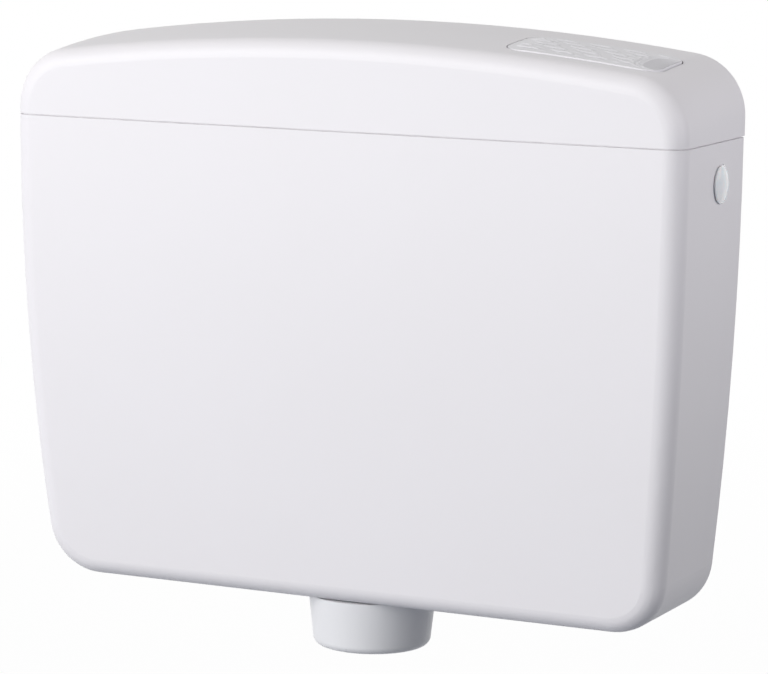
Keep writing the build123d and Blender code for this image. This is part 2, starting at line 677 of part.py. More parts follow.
lock_low = TANK_BOTTOM - LOCK_NUT_THICK
lock_nut = drum_z(LOCK_NUT_R, lock_low, TANK_BOTTOM, 0, OUTLET_Y)
lock_nut -= drum_z(TAIL_R + STATIC_GAP, lock_low - OVERRUN, TANK_BOTTOM + OVERRUN, 0, OUTLET_Y)
notch = block(around(LOCK_NUT_R, LEVER_WIDE / 4), around(0, LOCK_NUT_NOTCH / 2),
              (lock_low - OVERRUN, TANK_BOTTOM + OVERRUN))
for index in range(LOCK_NUT_NOTCHES):
    lock_nut -= Pos(0, OUTLET_Y, 0) * Rot(0, 0, FULL_TURN * index / LOCK_NUT_NOTCHES) * notch
nodes["outlet_lock_nut"] = lock_nut

CUP_TOP = TANK_BOTTOM - CUP_TOP_GAP
CUP_BOTTOM = CUP_TOP - CUP_HEIGHT
cup = turned_z([
    (PIPE_BORE_R, CUP_BOTTOM),
    (CUP_R, CUP_BOTTOM),
    (CUP_TOP_R, CUP_TOP),
    (CUP_SKIRT_BORE_R, CUP_TOP),
    (CUP_SKIRT_BORE_R, CUP_TOP - CUP_SKIRT_DEEP),
    (TAIL_R + STATIC_GAP, CUP_TOP - CUP_SKIRT_DEEP),
    (TAIL_R + STATIC_GAP, CUP_BOTTOM + CUP_LIP),
    (PIPE_BORE_R, CUP_BOTTOM + CUP_LIP),
], 0, OUTLET_Y)
outer_edge = [e for e in cup.edges() if abs(e.center().Z - CUP_BOTTOM) < STATIC_GAP and e.radius > TAIL_R]
cup = fillet(outer_edge, CUP_EDGE_R)
nodes["flush_pipe_nut"] = cup

pipe_seal = drum_z(TAIL_R, CUP_BOTTOM + CUP_LIP, TAIL_END, 0, OUTLET_Y)
pipe_seal -= drum_z(PIPE_BORE_R, CUP_BOTTOM, TANK_BOTTOM, 0, OUTLET_Y)
nodes["flush_pipe_seal"] = pipe_seal

# Guide cage on the valve seat

CAGE_TOP_Z = SEAT_TOP + CAGE_TALL
cage = drum_z(CAGE_R, SEAT_TOP, CAGE_TOP_Z, 0, OUTLET_Y)
cage -= drum_z(CAGE_BORE_R, SEAT_TOP - OVERRUN, CAGE_TOP_Z - CAGE_PLATE, 0, OUTLET_Y)
window_z = (SEAT_TOP + CAGE_BASE, CAGE_TOP_Z - CAGE_PLATE)
window = block(around(0, CAGE_WINDOW / 2), around(OUTLET_Y, FLANGE_R + OVERRUN), window_z)
window += block(around(0, FLANGE_R + OVERRUN), around(OUTLET_Y, CAGE_WINDOW / 2), window_z)
cage -= window
cage += drum_z(CAGE_BOSS_R, CAGE_TOP_Z - CAGE_BOSS_DOWN, CAGE_TOP_Z + CAGE_BOSS_UP, 0, OUTLET_Y)
cage -= drum_z(TUBE_R + GUIDE_GAP, SEAT_TOP, CAGE_TOP_Z + CAGE_BOSS_UP + OVERRUN, 0, OUTLET_Y)
for index in range(CAGE_VENTS):
    vent = drum_z(CAGE_VENT_R, CAGE_TOP_Z - CAGE_PLATE - OVERRUN, CAGE_TOP_Z + OVERRUN, CAGE_VENT_PITCH_R)
    cage -= Pos(0, OUTLET_Y, 0) * Rot(0, 0, FULL_TURN * index / CAGE_VENTS) * vent
nodes["flush_valve_cage"] = cage

# Valve disc, washer, float and overflow tube, lifted as one

SEAL_LOW = SEAT_TOP + SEAT_LIP_RISE + REST_GAP / 2
SEAL_HIGH = SEAL_LOW + VALVE_SEAL_THICK
DISC_TOP = SEAL_HIGH + DISC_THICK
HUB_TOP = DISC_TOP + DISC_HUB_RISE
valve_seal = drum_z(SEAL_R, SEAL_LOW, SEAL_HIGH, 0, OUTLET_Y)
valve_seal -= drum_z(SEAL_BORE_R, SEAL_LOW - OVERRUN, SEAL_HIGH + OVERRUN, 0, OUTLET_Y)
nodes["valve_washer"] = valve_seal

nodes["valve_disc"] = turned_z([
    (TUBE_BORE_R, SEAL_LOW),
    (SEAL_BORE_R - STATIC_GAP, SEAL_LOW),
    (SEAL_BORE_R - STATIC_GAP, SEAL_HIGH),
    (SEAL_R, SEAL_HIGH),
    (SEAL_R, DISC_TOP),
    (DISC_HUB_R, DISC_TOP),
    (DISC_HUB_R, HUB_TOP),
    (TUBE_R + STATIC_GAP, HUB_TOP),
    (TUBE_R + STATIC_GAP, DISC_TOP),
    (TUBE_BORE_R, DISC_TOP),
], 0, OUTLET_Y)

TUBE_TOP_Z = INLET_Z - OVERFLOW_DROP
tube = drum_z(TUBE_R, DISC_TOP, TUBE_TOP_Z, 0, OUTLET_Y)
tube -= drum_z(TUBE_BORE_R, DISC_TOP - OVERRUN, TUBE_TOP_Z + OVERRUN, 0, OUTLET_Y)
nodes["overflow_tube"] = tube

ring_float = drum_z(FLOAT_RING_R, HUB_TOP, HUB_TOP + FLOAT_RING_TALL, 0, OUTLET_Y)
ring_float = chamfer(ring_float.edges().filter_by(GeomType.CIRCLE), FLOAT_RING_EDGE)
ring_float -= drum_z(TUBE_R + STATIC_GAP, DISC_TOP, CAGE_TOP_Z, 0, OUTLET_Y)
nodes["valve_float"] = ring_float

spider_z = (TUBE_TOP_Z - SPIDER_TALL, TUBE_TOP_Z)
spider = drum_z(SPIDER_HUB_R, *spider_z)
spider_arm = block((0, TUBE_BORE_R - STATIC_GAP), around(0, SPIDER_ARM / 2), spider_z)
for index in range(SPIDER_ARMS):
    spider += Rot(0, 0, FULL_TURN * index / SPIDER_ARMS) * spider_arm
spider &= drum_z(TUBE_BORE_R - STATIC_GAP, *spider_z)
spider = Pos(0, OUTLET_Y, 0) * spider
spider -= drum_z(LIFT_ROD_R + STATIC_GAP, spider_z[0] - OVERRUN, spider_z[1] + OVERRUN, 0, OUTLET_Y)
nodes["lift_spider"] = spider

NUT_LOW = BUMP_TOP + REST_GAP
LIFT_ROD_TOP = NUT_LOW + 2 * LIFT_NUT_THICK + LIFT_ROD_SPARE
nodes["lift_rod"] = drum_z(LIFT_ROD_R, spider_z[0], LIFT_ROD_TOP, 0, OUTLET_Y)

lift_nuts = []
for level in range(2):
    low = NUT_LOW + level * LIFT_NUT_THICK
    nut = hexagon_z(LIFT_NUT_FLATS, low, low + LIFT_NUT_THICK - STATIC_GAP, 0, OUTLET_Y)
    nut -= drum_z(LIFT_ROD_R + STATIC_GAP, low - OVERRUN, low + LIFT_NUT_THICK + OVERRUN, 0, OUTLET_Y)
    lift_nuts.append(nut)
nodes["lift_rod_nuts"] = Compound(children=[part.solid() for part in lift_nuts])

# Fill valve: threaded shank, seat nozzle and chamber in one body

FLANGE_X = -SIDE_PAD_X + WASHER_THICK
HOUSING_LOW = FLANGE_X + BARREL_LONG
HOUSING_HIGH = HOUSING_LOW + HOUSING_LONG
CHAMBER_LOW = HOUSING_LOW + HOUSING_END
PORT_X = CHAMBER_LOW + NOZZLE_LONG + PORT_BORE_R
SHANK_END = -WIDTH / 2 - SHANK_REACH
NUT_FACE = -SIDE_SEAT_X - INLET_NUT_THICK
valve_body = turned_x([
    (SHANK_END, SHANK_BORE_R),
    (SHANK_END, SHANK_R - OVERRUN),
    (SHANK_END + OVERRUN, SHANK_R),
    (NUT_FACE - SHANK_GROOVE, SHANK_R),
    (NUT_FACE - SHANK_GROOVE, SHANK_R - SHANK_GROOVE_DEEP),
    (NUT_FACE, SHANK_R - SHANK_GROOVE_DEEP),
    (NUT_FACE, SHANK_R),
    (FLANGE_X, SHANK_R),
    (FLANGE_X, VALVE_FLANGE_R),
    (FLANGE_X + VALVE_FLANGE, VALVE_FLANGE_R),
    (FLANGE_X + VALVE_FLANGE, BARREL_R),
    (HOUSING_LOW, BARREL_R),
    (HOUSING_LOW, HOUSING_R),
    (HOUSING_HIGH, HOUSING_R),
    (HOUSING_HIGH, CHAMBER_R),
    (CHAMBER_LOW, CHAMBER_R),
    (CHAMBER_LOW, NOZZLE_R),
    (CHAMBER_LOW + NOZZLE_LONG, NOZZLE_BORE_R + OVERRUN),
    (CHAMBER_LOW + NOZZLE_LONG, NOZZLE_BORE_R),
    (HOUSING_LOW, NOZZLE_BORE_R),
    (HOUSING_LOW, SHANK_BORE_R),
], INLET_Y, INLET_Z)
PORT_LOW = INLET_Z - PORT_DROP
valve_body += drum_z(PORT_R, PORT_LOW, INLET_Z - CHAMBER_R - OVERRUN, PORT_X, INLET_Y)
valve_body -= drum_z(PORT_BORE_R, PORT_LOW - OVERRUN, INLET_Z - CHAMBER_R / 2, PORT_X, INLET_Y)
nodes["fill_valve_body"] = valve_body


def side_washer(low, high, outer_r, inner_r):
    washer = drum_x(outer_r, low, high, INLET_Y, INLET_Z)
    return washer - drum_x(inner_r, low - OVERRUN, high + OVERRUN, INLET_Y, INLET_Z)


nodes["inlet_washer"] = side_washer(-SIDE_PAD_X, FLANGE_X, WASHER_R, SHANK_R + STATIC_GAP)

inlet_nut = hexagon_x(INLET_NUT_FLATS, NUT_FACE, -SIDE_SEAT_X, INLET_Y, INLET_Z)
inlet_nut -= drum_x(SHANK_R + STATIC_GAP, SHANK_END, 0, INLET_Y, INLET_Z)
nodes["inlet_lock_nut"] = inlet_nut

SILENCER_TOP = INLET_Z - SILENCER_DROP
SILENCER_BOTTOM = FLOOR_Z + SILENCER_CLEAR
silencer = drum_z(SILENCER_R, SILENCER_BOTTOM, SILENCER_TOP, PORT_X, INLET_Y)
silencer -= drum_z(PORT_R + STATIC_GAP, SILENCER_BOTTOM - OVERRUN, SILENCER_TOP + OVERRUN, PORT_X, INLET_Y)
nodes["silencer_tube"] = silencer

# Cap of the fill valve, with the ears of the float lever

CAP_LOW = HOUSING_HIGH - CAP_SKIRT
CAP_FACE = HOUSING_HIGH + CAP_END
ARM_PIN_X = CAP_FACE + ARM_PIN_OUT
ARM_PIN_Z = INLET_Z - ARM_PIN_DROP
cap = turned_x([
    (CAP_LOW, HOUSING_R + STATIC_GAP),
    (CAP_LOW, CAP_R),
    (CAP_FACE, CAP_R),
    (CAP_FACE, STEM_R + GUIDE_GAP),
    (HOUSING_HIGH, STEM_R + GUIDE_GAP),
    (HOUSING_HIGH, HOUSING_R + STATIC_GAP),
], INLET_Y, INLET_Z)
for index in range(CAP_GRIPS):
    turn = math.radians(FULL_TURN * (index + index + 1) / (2 * CAP_GRIPS))
    grip_y = INLET_Y + CAP_R * math.sin(turn)
    grip_z = INLET_Z + CAP_R * math.cos(turn)
    cap -= drum_x(CAP_GRIP_R, CAP_LOW - OVERRUN, CAP_FACE - OVERRUN, grip_y, grip_z)
ear_offset = ARM_WIDE / 2 + LUG_SIDE_PLAY + ARM_LUG_THICK / 2
for side in (-1, 1):
    ear_span = around(INLET_Y + side * ear_offset, ARM_LUG_THICK / 2)
    cap += block((CAP_FACE - OVERRUN, ARM_PIN_X), ear_span, (ARM_PIN_Z - ARM_HUB_R, INLET_Z))
    cap += drum_y(ARM_HUB_R, *ear_span, ARM_PIN_X, ARM_PIN_Z)
arm_pin_span = around(INLET_Y, ear_offset + ARM_LUG_THICK / 2 + OVERRUN)
cap -= drum_y(ARM_PIN_R + STATIC_GAP, *arm_pin_span, ARM_PIN_X, ARM_PIN_Z)
nodes["fill_valve_cap"] = cap
nodes["float_lever_pin"] = drum_y(ARM_PIN_R, *arm_pin_span, ARM_PIN_X, ARM_PIN_Z)

# Plunger with its washer, open by the stroke that the nose of the float lever gives it

NOSE_X = ARM_PIN_X - NOSE_BACK
swing = math.radians(ARM_SWING)
STROKE = ARM_PIN_DROP * math.sin(swing) - NOSE_BACK * (1 - math.cos(swing))
STEM_END = NOSE_X - NOSE_R - REST_GAP
WASHER_LOW = CHAMBER_LOW + NOZZLE_LONG + STROKE + REST_GAP
PLUNGER_LOW = WASHER_LOW + VALVE_WASHER_THICK
PLUNGER_HIGH = PLUNGER_LOW + PLUNGER_THICK
nodes["plunger_washer"] = drum_x(VALVE_WASHER_R, WASHER_LOW, PLUNGER_LOW, INLET_Y, INLET_Z)
plunger = drum_x(PLUNGER_R, PLUNGER_LOW, PLUNGER_HIGH, INLET_Y, INLET_Z)
plunger += drum_x(STEM_R, PLUNGER_LOW, STEM_END, INLET_Y, INLET_Z)
nodes["valve_plunger"] = plunger

# Float lever, drooping with the tank empty

arm_span = around(INLET_Y, ARM_WIDE / 2)
droop = math.radians(ARM_DROOP)
EYE_X = ARM_PIN_X + ARM_LONG * math.cos(droop)
EYE_Z = ARM_PIN_Z - ARM_LONG * math.sin(droop)
arm = block((0, ARM_LONG), around(0, ARM_WIDE / 2), around(0, ARM_TALL / 2))
arm = Pos(ARM_PIN_X, INLET_Y, ARM_PIN_Z) * Rot(0, ARM_DROOP, 0) * arm
arm += drum_y(ARM_HUB_R, *arm_span, ARM_PIN_X, ARM_PIN_Z)
arm += block(around(NOSE_X, NOSE_R), arm_span, (ARM_PIN_Z, INLET_Z))
arm += drum_y(NOSE_R, *arm_span, NOSE_X, INLET_Z)
arm += drum_z(EYE_R, EYE_Z - EYE_TALL / 2, EYE_Z + EYE_TALL / 2, EYE_X, INLET_Y)
arm -= drum_z(FLOAT_ROD_R + STATIC_GAP, EYE_Z - EYE_TALL, EYE_Z + EYE_TALL, EYE_X, INLET_Y)
arm -= drum_y(ARM_PIN_R + PIN_GAP, arm_span[0] - OVERRUN, arm_span[1] + OVERRUN, ARM_PIN_X, ARM_PIN_Z)
nodes["float_lever"] = arm

CUP_FLOAT_TOP = EYE_Z - FLOAT_HANG
CUP_FLOAT_LOW = CUP_FLOAT_TOP - CUP_FLOAT_TALL
nut_above_eye = EYE_Z + EYE_TALL / 2
nut_below_eye = EYE_Z - EYE_TALL / 2 - ROD_HEX_THICK
nut_below_cup = CUP_FLOAT_LOW - ROD_HEX_THICK
rod_span = (nut_below_cup - OVERRUN, nut_above_eye + ROD_HEX_THICK + FLOAT_ROD_SPARE)
nodes["float_rod"] = drum_z(FLOAT_ROD_R, *rod_span, EYE_X, INLET_Y)

float_cup = drum_z(CUP_FLOAT_R, CUP_FLOAT_LOW, CUP_FLOAT_TOP, EYE_X, INLET_Y)
float_cup = fillet(float_cup.faces().sort_by(Axis.Z)[-1].edges(), CUP_FLOAT_EDGE)
hollow_top = CUP_FLOAT_TOP - CUP_FLOAT_WALL
hollow = drum_z(CUP_FLOAT_R - CUP_FLOAT_WALL, CUP_FLOAT_LOW - OVERRUN, hollow_top, EYE_X, INLET_Y)
hollow = fillet(hollow.faces().sort_by(Axis.Z)[-1].edges(), CUP_FLOAT_EDGE - CUP_FLOAT_WALL)
float_cup -= hollow
float_cup += drum_z(CUP_TUBE_R, CUP_FLOAT_LOW, CUP_FLOAT_TOP, EYE_X, INLET_Y)
bore = drum_z(FLOAT_ROD_R + STATIC_GAP, CUP_FLOAT_LOW - OVERRUN, CUP_FLOAT_TOP + OVERRUN, EYE_X, INLET_Y)
float_cup -= bore
nodes["float_cup"] = float_cup

rod_nuts = []
for low in (nut_above_eye, nut_below_eye, CUP_FLOAT_TOP, nut_below_cup):
    nut = hexagon_z(ROD_HEX_FLATS, low, low + ROD_HEX_THICK, EYE_X, INLET_Y)
    nut -= drum_z(FLOAT_ROD_R + STATIC_GAP, low - OVERRUN, low + ROD_HEX_THICK + OVERRUN, EYE_X, INLET_Y)
    rod_nuts.append(nut)
nodes["float_rod_nuts"] = Compound(children=[part.solid() for part in rod_nuts])

# Blanking plug with its washer and nut on the right side

PLUG_FACE = SIDE_SEAT_X + PLUG_HEAD + SIDE_SEAT_DEEP
PLUG_END = SIDE_SEAT_X - PLUG_STEM
nodes["blanking_plug"] = turned_x([
    (PLUG_END, PLUG_BORE_R),
    (PLUG_END, SHANK_R),
    (SIDE_SEAT_X, SHANK_R),
    (SIDE_SEAT_X, PLUG_R),
    (PLUG_FACE - PLUG_EDGE, PLUG_R),
    (PLUG_FACE, PLUG_R - PLUG_EDGE),
    (PLUG_FACE, 0),
    (PLUG_FACE - PLUG_HEAD, 0),
    (PLUG_FACE - PLUG_HEAD, PLUG_BORE_R),
], INLET_Y, INLET_Z)
plug_nut_high = SIDE_PAD_X - WASHER_THICK
nodes["blanking_plug_washer"] = side_washer(plug_nut_high, SIDE_PAD_X, WASHER_R, SHANK_R + STATIC_GAP)
plug_nut = hexagon_x(PLUG_NUT_FLATS, plug_nut_high - PLUG_NUT_THICK, plug_nut_high, INLET_Y, INLET_Z)
plug_nut -= drum_x(SHANK_R + STATIC_GAP, PLUG_END - OVERRUN, SIDE_SEAT_X, INLET_Y, INLET_Z)
nodes["blanking_plug_nut"] = plug_nut

# Write one file for each node

os.makedirs("parts", exist_ok=True)
for name, shape in nodes.items():
    shape.label = name
    export_step(shape, f"parts/{name}.step")
print("nodes written:", len(nodes))
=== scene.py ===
"""Looks of a wall-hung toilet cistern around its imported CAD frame."""

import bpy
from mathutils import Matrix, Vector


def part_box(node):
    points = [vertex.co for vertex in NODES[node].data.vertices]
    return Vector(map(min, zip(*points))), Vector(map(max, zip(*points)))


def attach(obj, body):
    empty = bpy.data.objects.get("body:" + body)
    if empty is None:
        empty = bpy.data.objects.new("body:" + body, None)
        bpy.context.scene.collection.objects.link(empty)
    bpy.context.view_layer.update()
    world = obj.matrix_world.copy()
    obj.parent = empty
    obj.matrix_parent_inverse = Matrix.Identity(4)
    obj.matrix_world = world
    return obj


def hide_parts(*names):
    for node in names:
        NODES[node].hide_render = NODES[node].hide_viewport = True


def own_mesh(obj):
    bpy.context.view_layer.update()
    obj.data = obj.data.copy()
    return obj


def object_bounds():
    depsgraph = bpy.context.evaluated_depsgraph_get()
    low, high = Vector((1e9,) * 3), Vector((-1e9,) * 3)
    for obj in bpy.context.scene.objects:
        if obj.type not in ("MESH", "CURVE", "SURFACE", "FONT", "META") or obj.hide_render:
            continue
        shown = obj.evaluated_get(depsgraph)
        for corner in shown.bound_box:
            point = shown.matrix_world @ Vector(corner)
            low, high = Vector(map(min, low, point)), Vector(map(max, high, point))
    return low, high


bl_info = {
    "name": "Wall-hung toilet cistern",
    "version": (1, 0, 0),
    "blender": (4, 5, 0),
    "location": "View3D > Sidebar > Cistern",
    "description": "Finishes and small forms of a wall-hung toilet cistern",
    "category": "Object",
}

import math

import bmesh
import bpy
from bpy.props import FloatProperty, FloatVectorProperty, IntProperty, PointerProperty
from mathutils import Matrix, Vector

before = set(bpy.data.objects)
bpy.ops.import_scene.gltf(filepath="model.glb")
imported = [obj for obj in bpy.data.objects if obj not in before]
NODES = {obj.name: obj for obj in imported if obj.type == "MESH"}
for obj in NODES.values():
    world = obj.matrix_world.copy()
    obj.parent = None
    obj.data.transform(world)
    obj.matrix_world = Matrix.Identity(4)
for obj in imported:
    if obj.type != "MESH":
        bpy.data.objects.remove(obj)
CAD_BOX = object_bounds()
MM = 0.001
GEOMETRY = "NodeSocketGeometry"
FLOAT = "NodeSocketFloat"
WHOLE = "NodeSocketInt"
VECTOR = "NodeSocketVector"
FINISH = "NodeSocketMaterial"
THING = "NodeSocketObject"

# Sizes that the CAD frame's boxes don't give

LID_APEX = CAD_BOX[1][2]
LID_DOME_R = 1450 * MM
LID_CROWN_R = 690 * MM
PLATE_CORNER = 12 * MM
PLATE_LAP = 0.05 * MM
PLATE_SKIRT = 2.5 * MM
PROUD_FROM = 1.0 * MM
PROUD_FULL = 14.0 * MM
DISH_FORWARD = 3.5 * MM
FIRST_WELT = 9.5 * MM
WELT_GAP = 5.0 * MM
WELT_TAPER = 1.4 * MM
WELT_CURL = 5.5 * MM
WELT_HOOK = 2.2 * MM
SHORT_WELT_HOOK = 1.0 * MM
WELT_WANDER = 2.6 * MM
WELT_TOP = 0.35 * MM
WELT_FOOT = 1.35 * MM
WELT_ROW_SHIFT_SHARE = 0.37
WANDER_SCALE = 110
WANDER_ROW_STEP = 3.7
SHORT_WELT_LENGTH_SHARE = 0.55
SHORT_WELT_HEIGHT_SHARE = 0.6
SPRING_WIRE_R = 0.6 * MM
PLUG_HEAD = 3.4 * MM
PLUG_FLANGE = 1.5 * MM
PLUG_GROOVE = 0.8 * MM
PLUG_DOME_POWER = 2.2
PLUG_NECK = 5.4 * MM
PLUG_BORE_R = 5.5 * MM
INLET_CREST_R = 8.33 * MM
INLET_ROOT_R = 7.47 * MM
SHANK_LEAD = 0.9 * MM
SHANK_THREAD = 20.4 * MM
THREAD_WALL = 0.6 * MM
THREAD_FLAT_SHARE = 0.12
THREAD_ROWS = 9
LIFT_ROD_R = 3.0 * MM
FLOAT_ROD_R = 3.0 * MM
ROD_THREAD_DEEP = 0.6 * MM
FOOT_STEM_R = 2.5 * MM
FOOT_THREAD_DEEP = 0.45 * MM
FOOT_PAD = 3.0 * MM
FOOT_SUNK = 1.0 * MM
EYE_TALL = 9.0 * MM
SCREW_R = 2.0 * MM
SCREW_HEAD = 2.4 * MM
SCREW_RIM = 0.5 * MM
SCREW_POINT = 2.2 * MM
RECESS_LONG = 4.4 * MM
RECESS_WIDE = 1.0 * MM
RECESS_TALL = 2.4 * MM
RECESS_RISE_SHARE = 0.18
RECESS_TAPER_SHARE = 0.55
NUT_FACE_SHARE = 0.97
NUT_LEAD = 0.4 * MM
NUT_PLAY = 0.03 * MM
TURNED_SHARP = 28.0

# Welts round the finger dish, by the dish's level, which is 1 at its rim

NEAR_ARC_LEVEL = 1.32
NEAR_ARC_FADE = (0.04, 0.14)
FAR_ARC_LEVEL = 1.75
FAR_ARC_FADE = (0.05, 0.17)
FAR_ARC_HEIGHT_SHARE = 0.8
ARC_BREAKS = (0.42, 0.5)
WELTS_BEGIN_LEVEL = (1.15, 1.4)
ROWS_BEGIN_LEVEL = (1.75, 2.0)

# Sizes of the stage

SIDE_LAMP_Z = 30.0 * MM
FLOOR_HALF = 12.0
FLOOR_FADES = 1.5
FLOOR_GONE = 5.0
FLOOR_VEIL = 0.97


# Sizes and colours that a user would change

def length(name, description, millimetres):
    return FloatProperty(name=name, description=description, default=millimetres * MM,
                         min=0.0, unit="LENGTH", precision=5)


def colour(name, description, value):
    return FloatVectorProperty(name=name, description=description, default=value,
                               subtype="COLOR", size=3, min=0.0, max=1.0)


def share(name, description, value):
    return FloatProperty(name=name, description=description, default=value, min=0.0, max=1.0,
                         subtype="FACTOR")


class CisternColours(bpy.types.PropertyGroup):
    casing: colour("Casing", "White moulding of tank and lid", (0.835, 0.815, 0.84))
    plate: colour("Plate", "White moulding of the push plate", (0.81, 0.80, 0.83))
    plug: colour("Plug", "Bluish white of the blanking plug", (0.93, 0.955, 1.0))
    nut: colour("Pipe nut", "White moulding of the flush pipe nut", (0.79, 0.79, 0.81))
    acetal: colour("Acetal", "Natural white of the valve mouldings", (0.70, 0.70, 0.68))
    grey: colour("Grey", "Light grey of lever, nuts and cap", (0.28, 0.31, 0.34))
    floats: colour("Floats", "Pale grey of the floats", (0.48, 0.51, 0.54))
    rubber: colour("Rubber", "Black rubber of washers and seals", (0.018, 0.018, 0.020))
    steel: colour("Steel", "Stainless steel of pins, screws and spring", (0.60, 0.61, 0.62))
    casing_roughness: share("Casing roughness", "Roughness of the gloss white moulding", 0.46)
    plate_roughness: share("Plate roughness", "Roughness of the push plate", 0.38)


class CisternSizes(bpy.types.PropertyGroup):
    plate_proud: length("Plate proud", "How far the push plate stands above the lid", 0.7)
    dish_length: length("Dish length", "Reach of the finger dish along the plate", 14.0)
    dish_width: length("Dish width", "Width of the finger dish across the plate", 38.0)
    dish_depth: length("Dish depth", "Depth of the finger dish at the plate's end", 2.0)
    welt_height: length("Welt height", "How far the welts stand up from the plate", 0.6)
    welt_pitch: length("Welt pitch", "Spacing of the rows of welts", 8.6)
    welt_length: length("Welt length", "Spacing of the welts along a row", 22.0)
    welt_border: length("Welt border", "Smooth border round the welts", 5.0)
    spring_turns: FloatProperty(name="Spring turns", description="Turns of the return spring",
                                default=8.5, min=2.0)
    inlet_pitch: length("Inlet thread pitch", "Pitch of the inlet and plug threads", 1.337)
    rod_pitch: length("Rod thread pitch", "Pitch of the lift rod and float rod threads", 1.5)
    foot_pitch: length("Foot thread pitch", "Pitch of the push rod's foot", 1.0)
    thread_columns: IntProperty(name="Thread columns", description="Faces round a thread",
                                default=40, min=8)


class CisternStage(bpy.types.PropertyGroup):
    camera_place: FloatVectorProperty(name="Camera place", description="Where the camera stands",
                                      default=(0.963598, -2.060940, 0.235270), subtype="TRANSLATION")
    camera_target: FloatVectorProperty(name="Camera target", description="Point at the picture's centre",
                                       default=(0.006915, -0.045, -0.100511), subtype="TRANSLATION")
    camera_roll: FloatProperty(name="Camera roll", description="Turn about the line of sight",
                               default=math.radians(0.659), subtype="ANGLE")
    focal_length: FloatProperty(name="Focal length", description="Lens on a 36 mm wide sensor",
                                default=169.67, min=1.0, subtype="DISTANCE_CAMERA")
    floor_drop: length("Floor drop", "Floor below the wall fixings", 900.0)
    floor_tone: colour("Floor", "Pale floor as it is seen", (0.93, 0.93, 0.94))
    bounce_tone: colour("Bounce", "Light that the floor throws back", (0.17, 0.19, 0.24))
    ambient: FloatProperty(name="Ambient", description="Level of the light from the horizon",
                           default=0.34, min=0.0)
    back_light: FloatProperty(name="Back light", description="Light added from behind", default=0.25,
                              min=0.0)
    zenith: FloatProperty(name="Zenith", description="Level of the light from straight above",
                          default=0.24, min=0.0)


# Node trees

def feed(tree, socket, value):
    """Link a field or a socket to this input, or set a plain value."""
    value = getattr(value, "socket", value)
    if isinstance(value, bpy.types.NodeSocket):
        tree.links.new(value, socket)
    else:
        socket.default_value = value


def put(tree, kind, sockets=None, **settings):
    """Add a node, give its settings, and feed its inputs."""
    node = tree.nodes.new(kind)
    for name, value in settings.items():
        setattr(node, name, value)
    for name, value in (sockets or {}).items():
        feed(tree, node.inputs[name], value)
    return node


class Field:
    """A number in a node tree that takes Python's own operators."""

    def __init__(self, tree, socket):
        self.tree = tree
        self.socket = socket

    def maths(self, operation, *others, first=None, clamp=False):
        node = put(self.tree, "ShaderNodeMath", operation=operation, use_clamp=clamp)
        for socket, value in zip(node.inputs, (self if first is None else first, *others)):
            feed(self.tree, socket, value)
        return Field(self.tree, node.outputs[0])

    def __add__(self, other):
        return self.maths("ADD", other)

    def __sub__(self, other):
        return self.maths("SUBTRACT", other)

    def __rsub__(self, other):
        return self.maths("SUBTRACT", self, first=other)

    def __mul__(self, other):
        return self.maths("MULTIPLY", other)

    def __truediv__(self, other):
        return self.maths("DIVIDE", other)

    def __rtruediv__(self, other):
        return self.maths("DIVIDE", self, first=other)

    def __abs__(self):
        return self.maths("ABSOLUTE")

    __radd__ = __add__
    __rmul__ = __mul__

    def least(self, other):
        return self.maths("MINIMUM", other)

    def most(self, other):
        return self.maths("MAXIMUM", other)

    def root(self):
        return self.maths("SQRT")

    def clamped(self):
        return self.maths("ADD", 0.0, clamp=True)

    def between(self, low, high):
        """0 up to low, 1 from high, and smooth between them."""
        node = put(self.tree, "ShaderNodeMapRange", {"Value": self, "From Min": low, "From Max": high},
                   interpolation_type="SMOOTHSTEP")
        return Field(self.tree, node.outputs["Result"])


def parts_of(tree, vector):
    node = put(tree, "ShaderNodeSeparateXYZ", {0: vector})
    return [Field(tree, socket) for socket in node.outputs]


def joined(tree, x, y, z):
    return put(tree, "ShaderNodeCombineXYZ", {"X": x, "Y": y, "Z": z}).outputs[0]


def noise(tree, place, scale, detail=0.0, roughness=0.5):
    node = put(tree, "ShaderNodeTexNoise", {"Vector": place, "Scale": scale, "Detail": detail,
                                            "Roughness": roughness})
    return Field(tree, node.outputs["Fac"])


def new_tree(kind, name, inputs, outputs):
    """Node group with (name, type, default) inputs and (name, type) outputs."""
    tree = bpy.data.node_groups.new(name, kind)
    for label, sort, default in inputs:
        socket = tree.interface.new_socket(name=label, in_out="INPUT", socket_type=sort)
        if default is not None:
            socket.default_value = default
    for label, sort in outputs:
        tree.interface.new_socket(name=label, in_out="OUTPUT", socket_type=sort)
    source = tree.nodes.new("NodeGroupInput").outputs
    sink = tree.nodes.new("NodeGroupOutput").inputs
    return tree, source, sink


# Shared effects of the materials

def moulded_skin():
    """Fine grain and slow swell of a moulding, with a tone that drifts over the piece."""
    tree, source, sink = new_tree("ShaderNodeTree", "Moulded skin", [
        ("Place", VECTOR, None), ("Grain size", FLOAT, 0.0006), ("Swell size", FLOAT, 0.02),
        ("Drift size", FLOAT, 0.12), ("Grain", FLOAT, 0.12)],
        [("Height", FLOAT), ("Drift", FLOAT), ("Speck", FLOAT)])
    scale = {label: 1.0 / Field(tree, source[label]) for label in ("Grain size", "Swell size", "Drift size")}
    grain = noise(tree, source["Place"], scale["Grain size"], 2.0, 0.55)
    swell = noise(tree, source["Place"], scale["Swell size"], 1.0)
    drift = noise(tree, source["Place"], scale["Drift size"], 3.0)
    feed(tree, sink["Height"], swell + grain * Field(tree, source["Grain"]))
    feed(tree, sink["Drift"], drift)
    feed(tree, sink["Speck"], grain)
    return tree


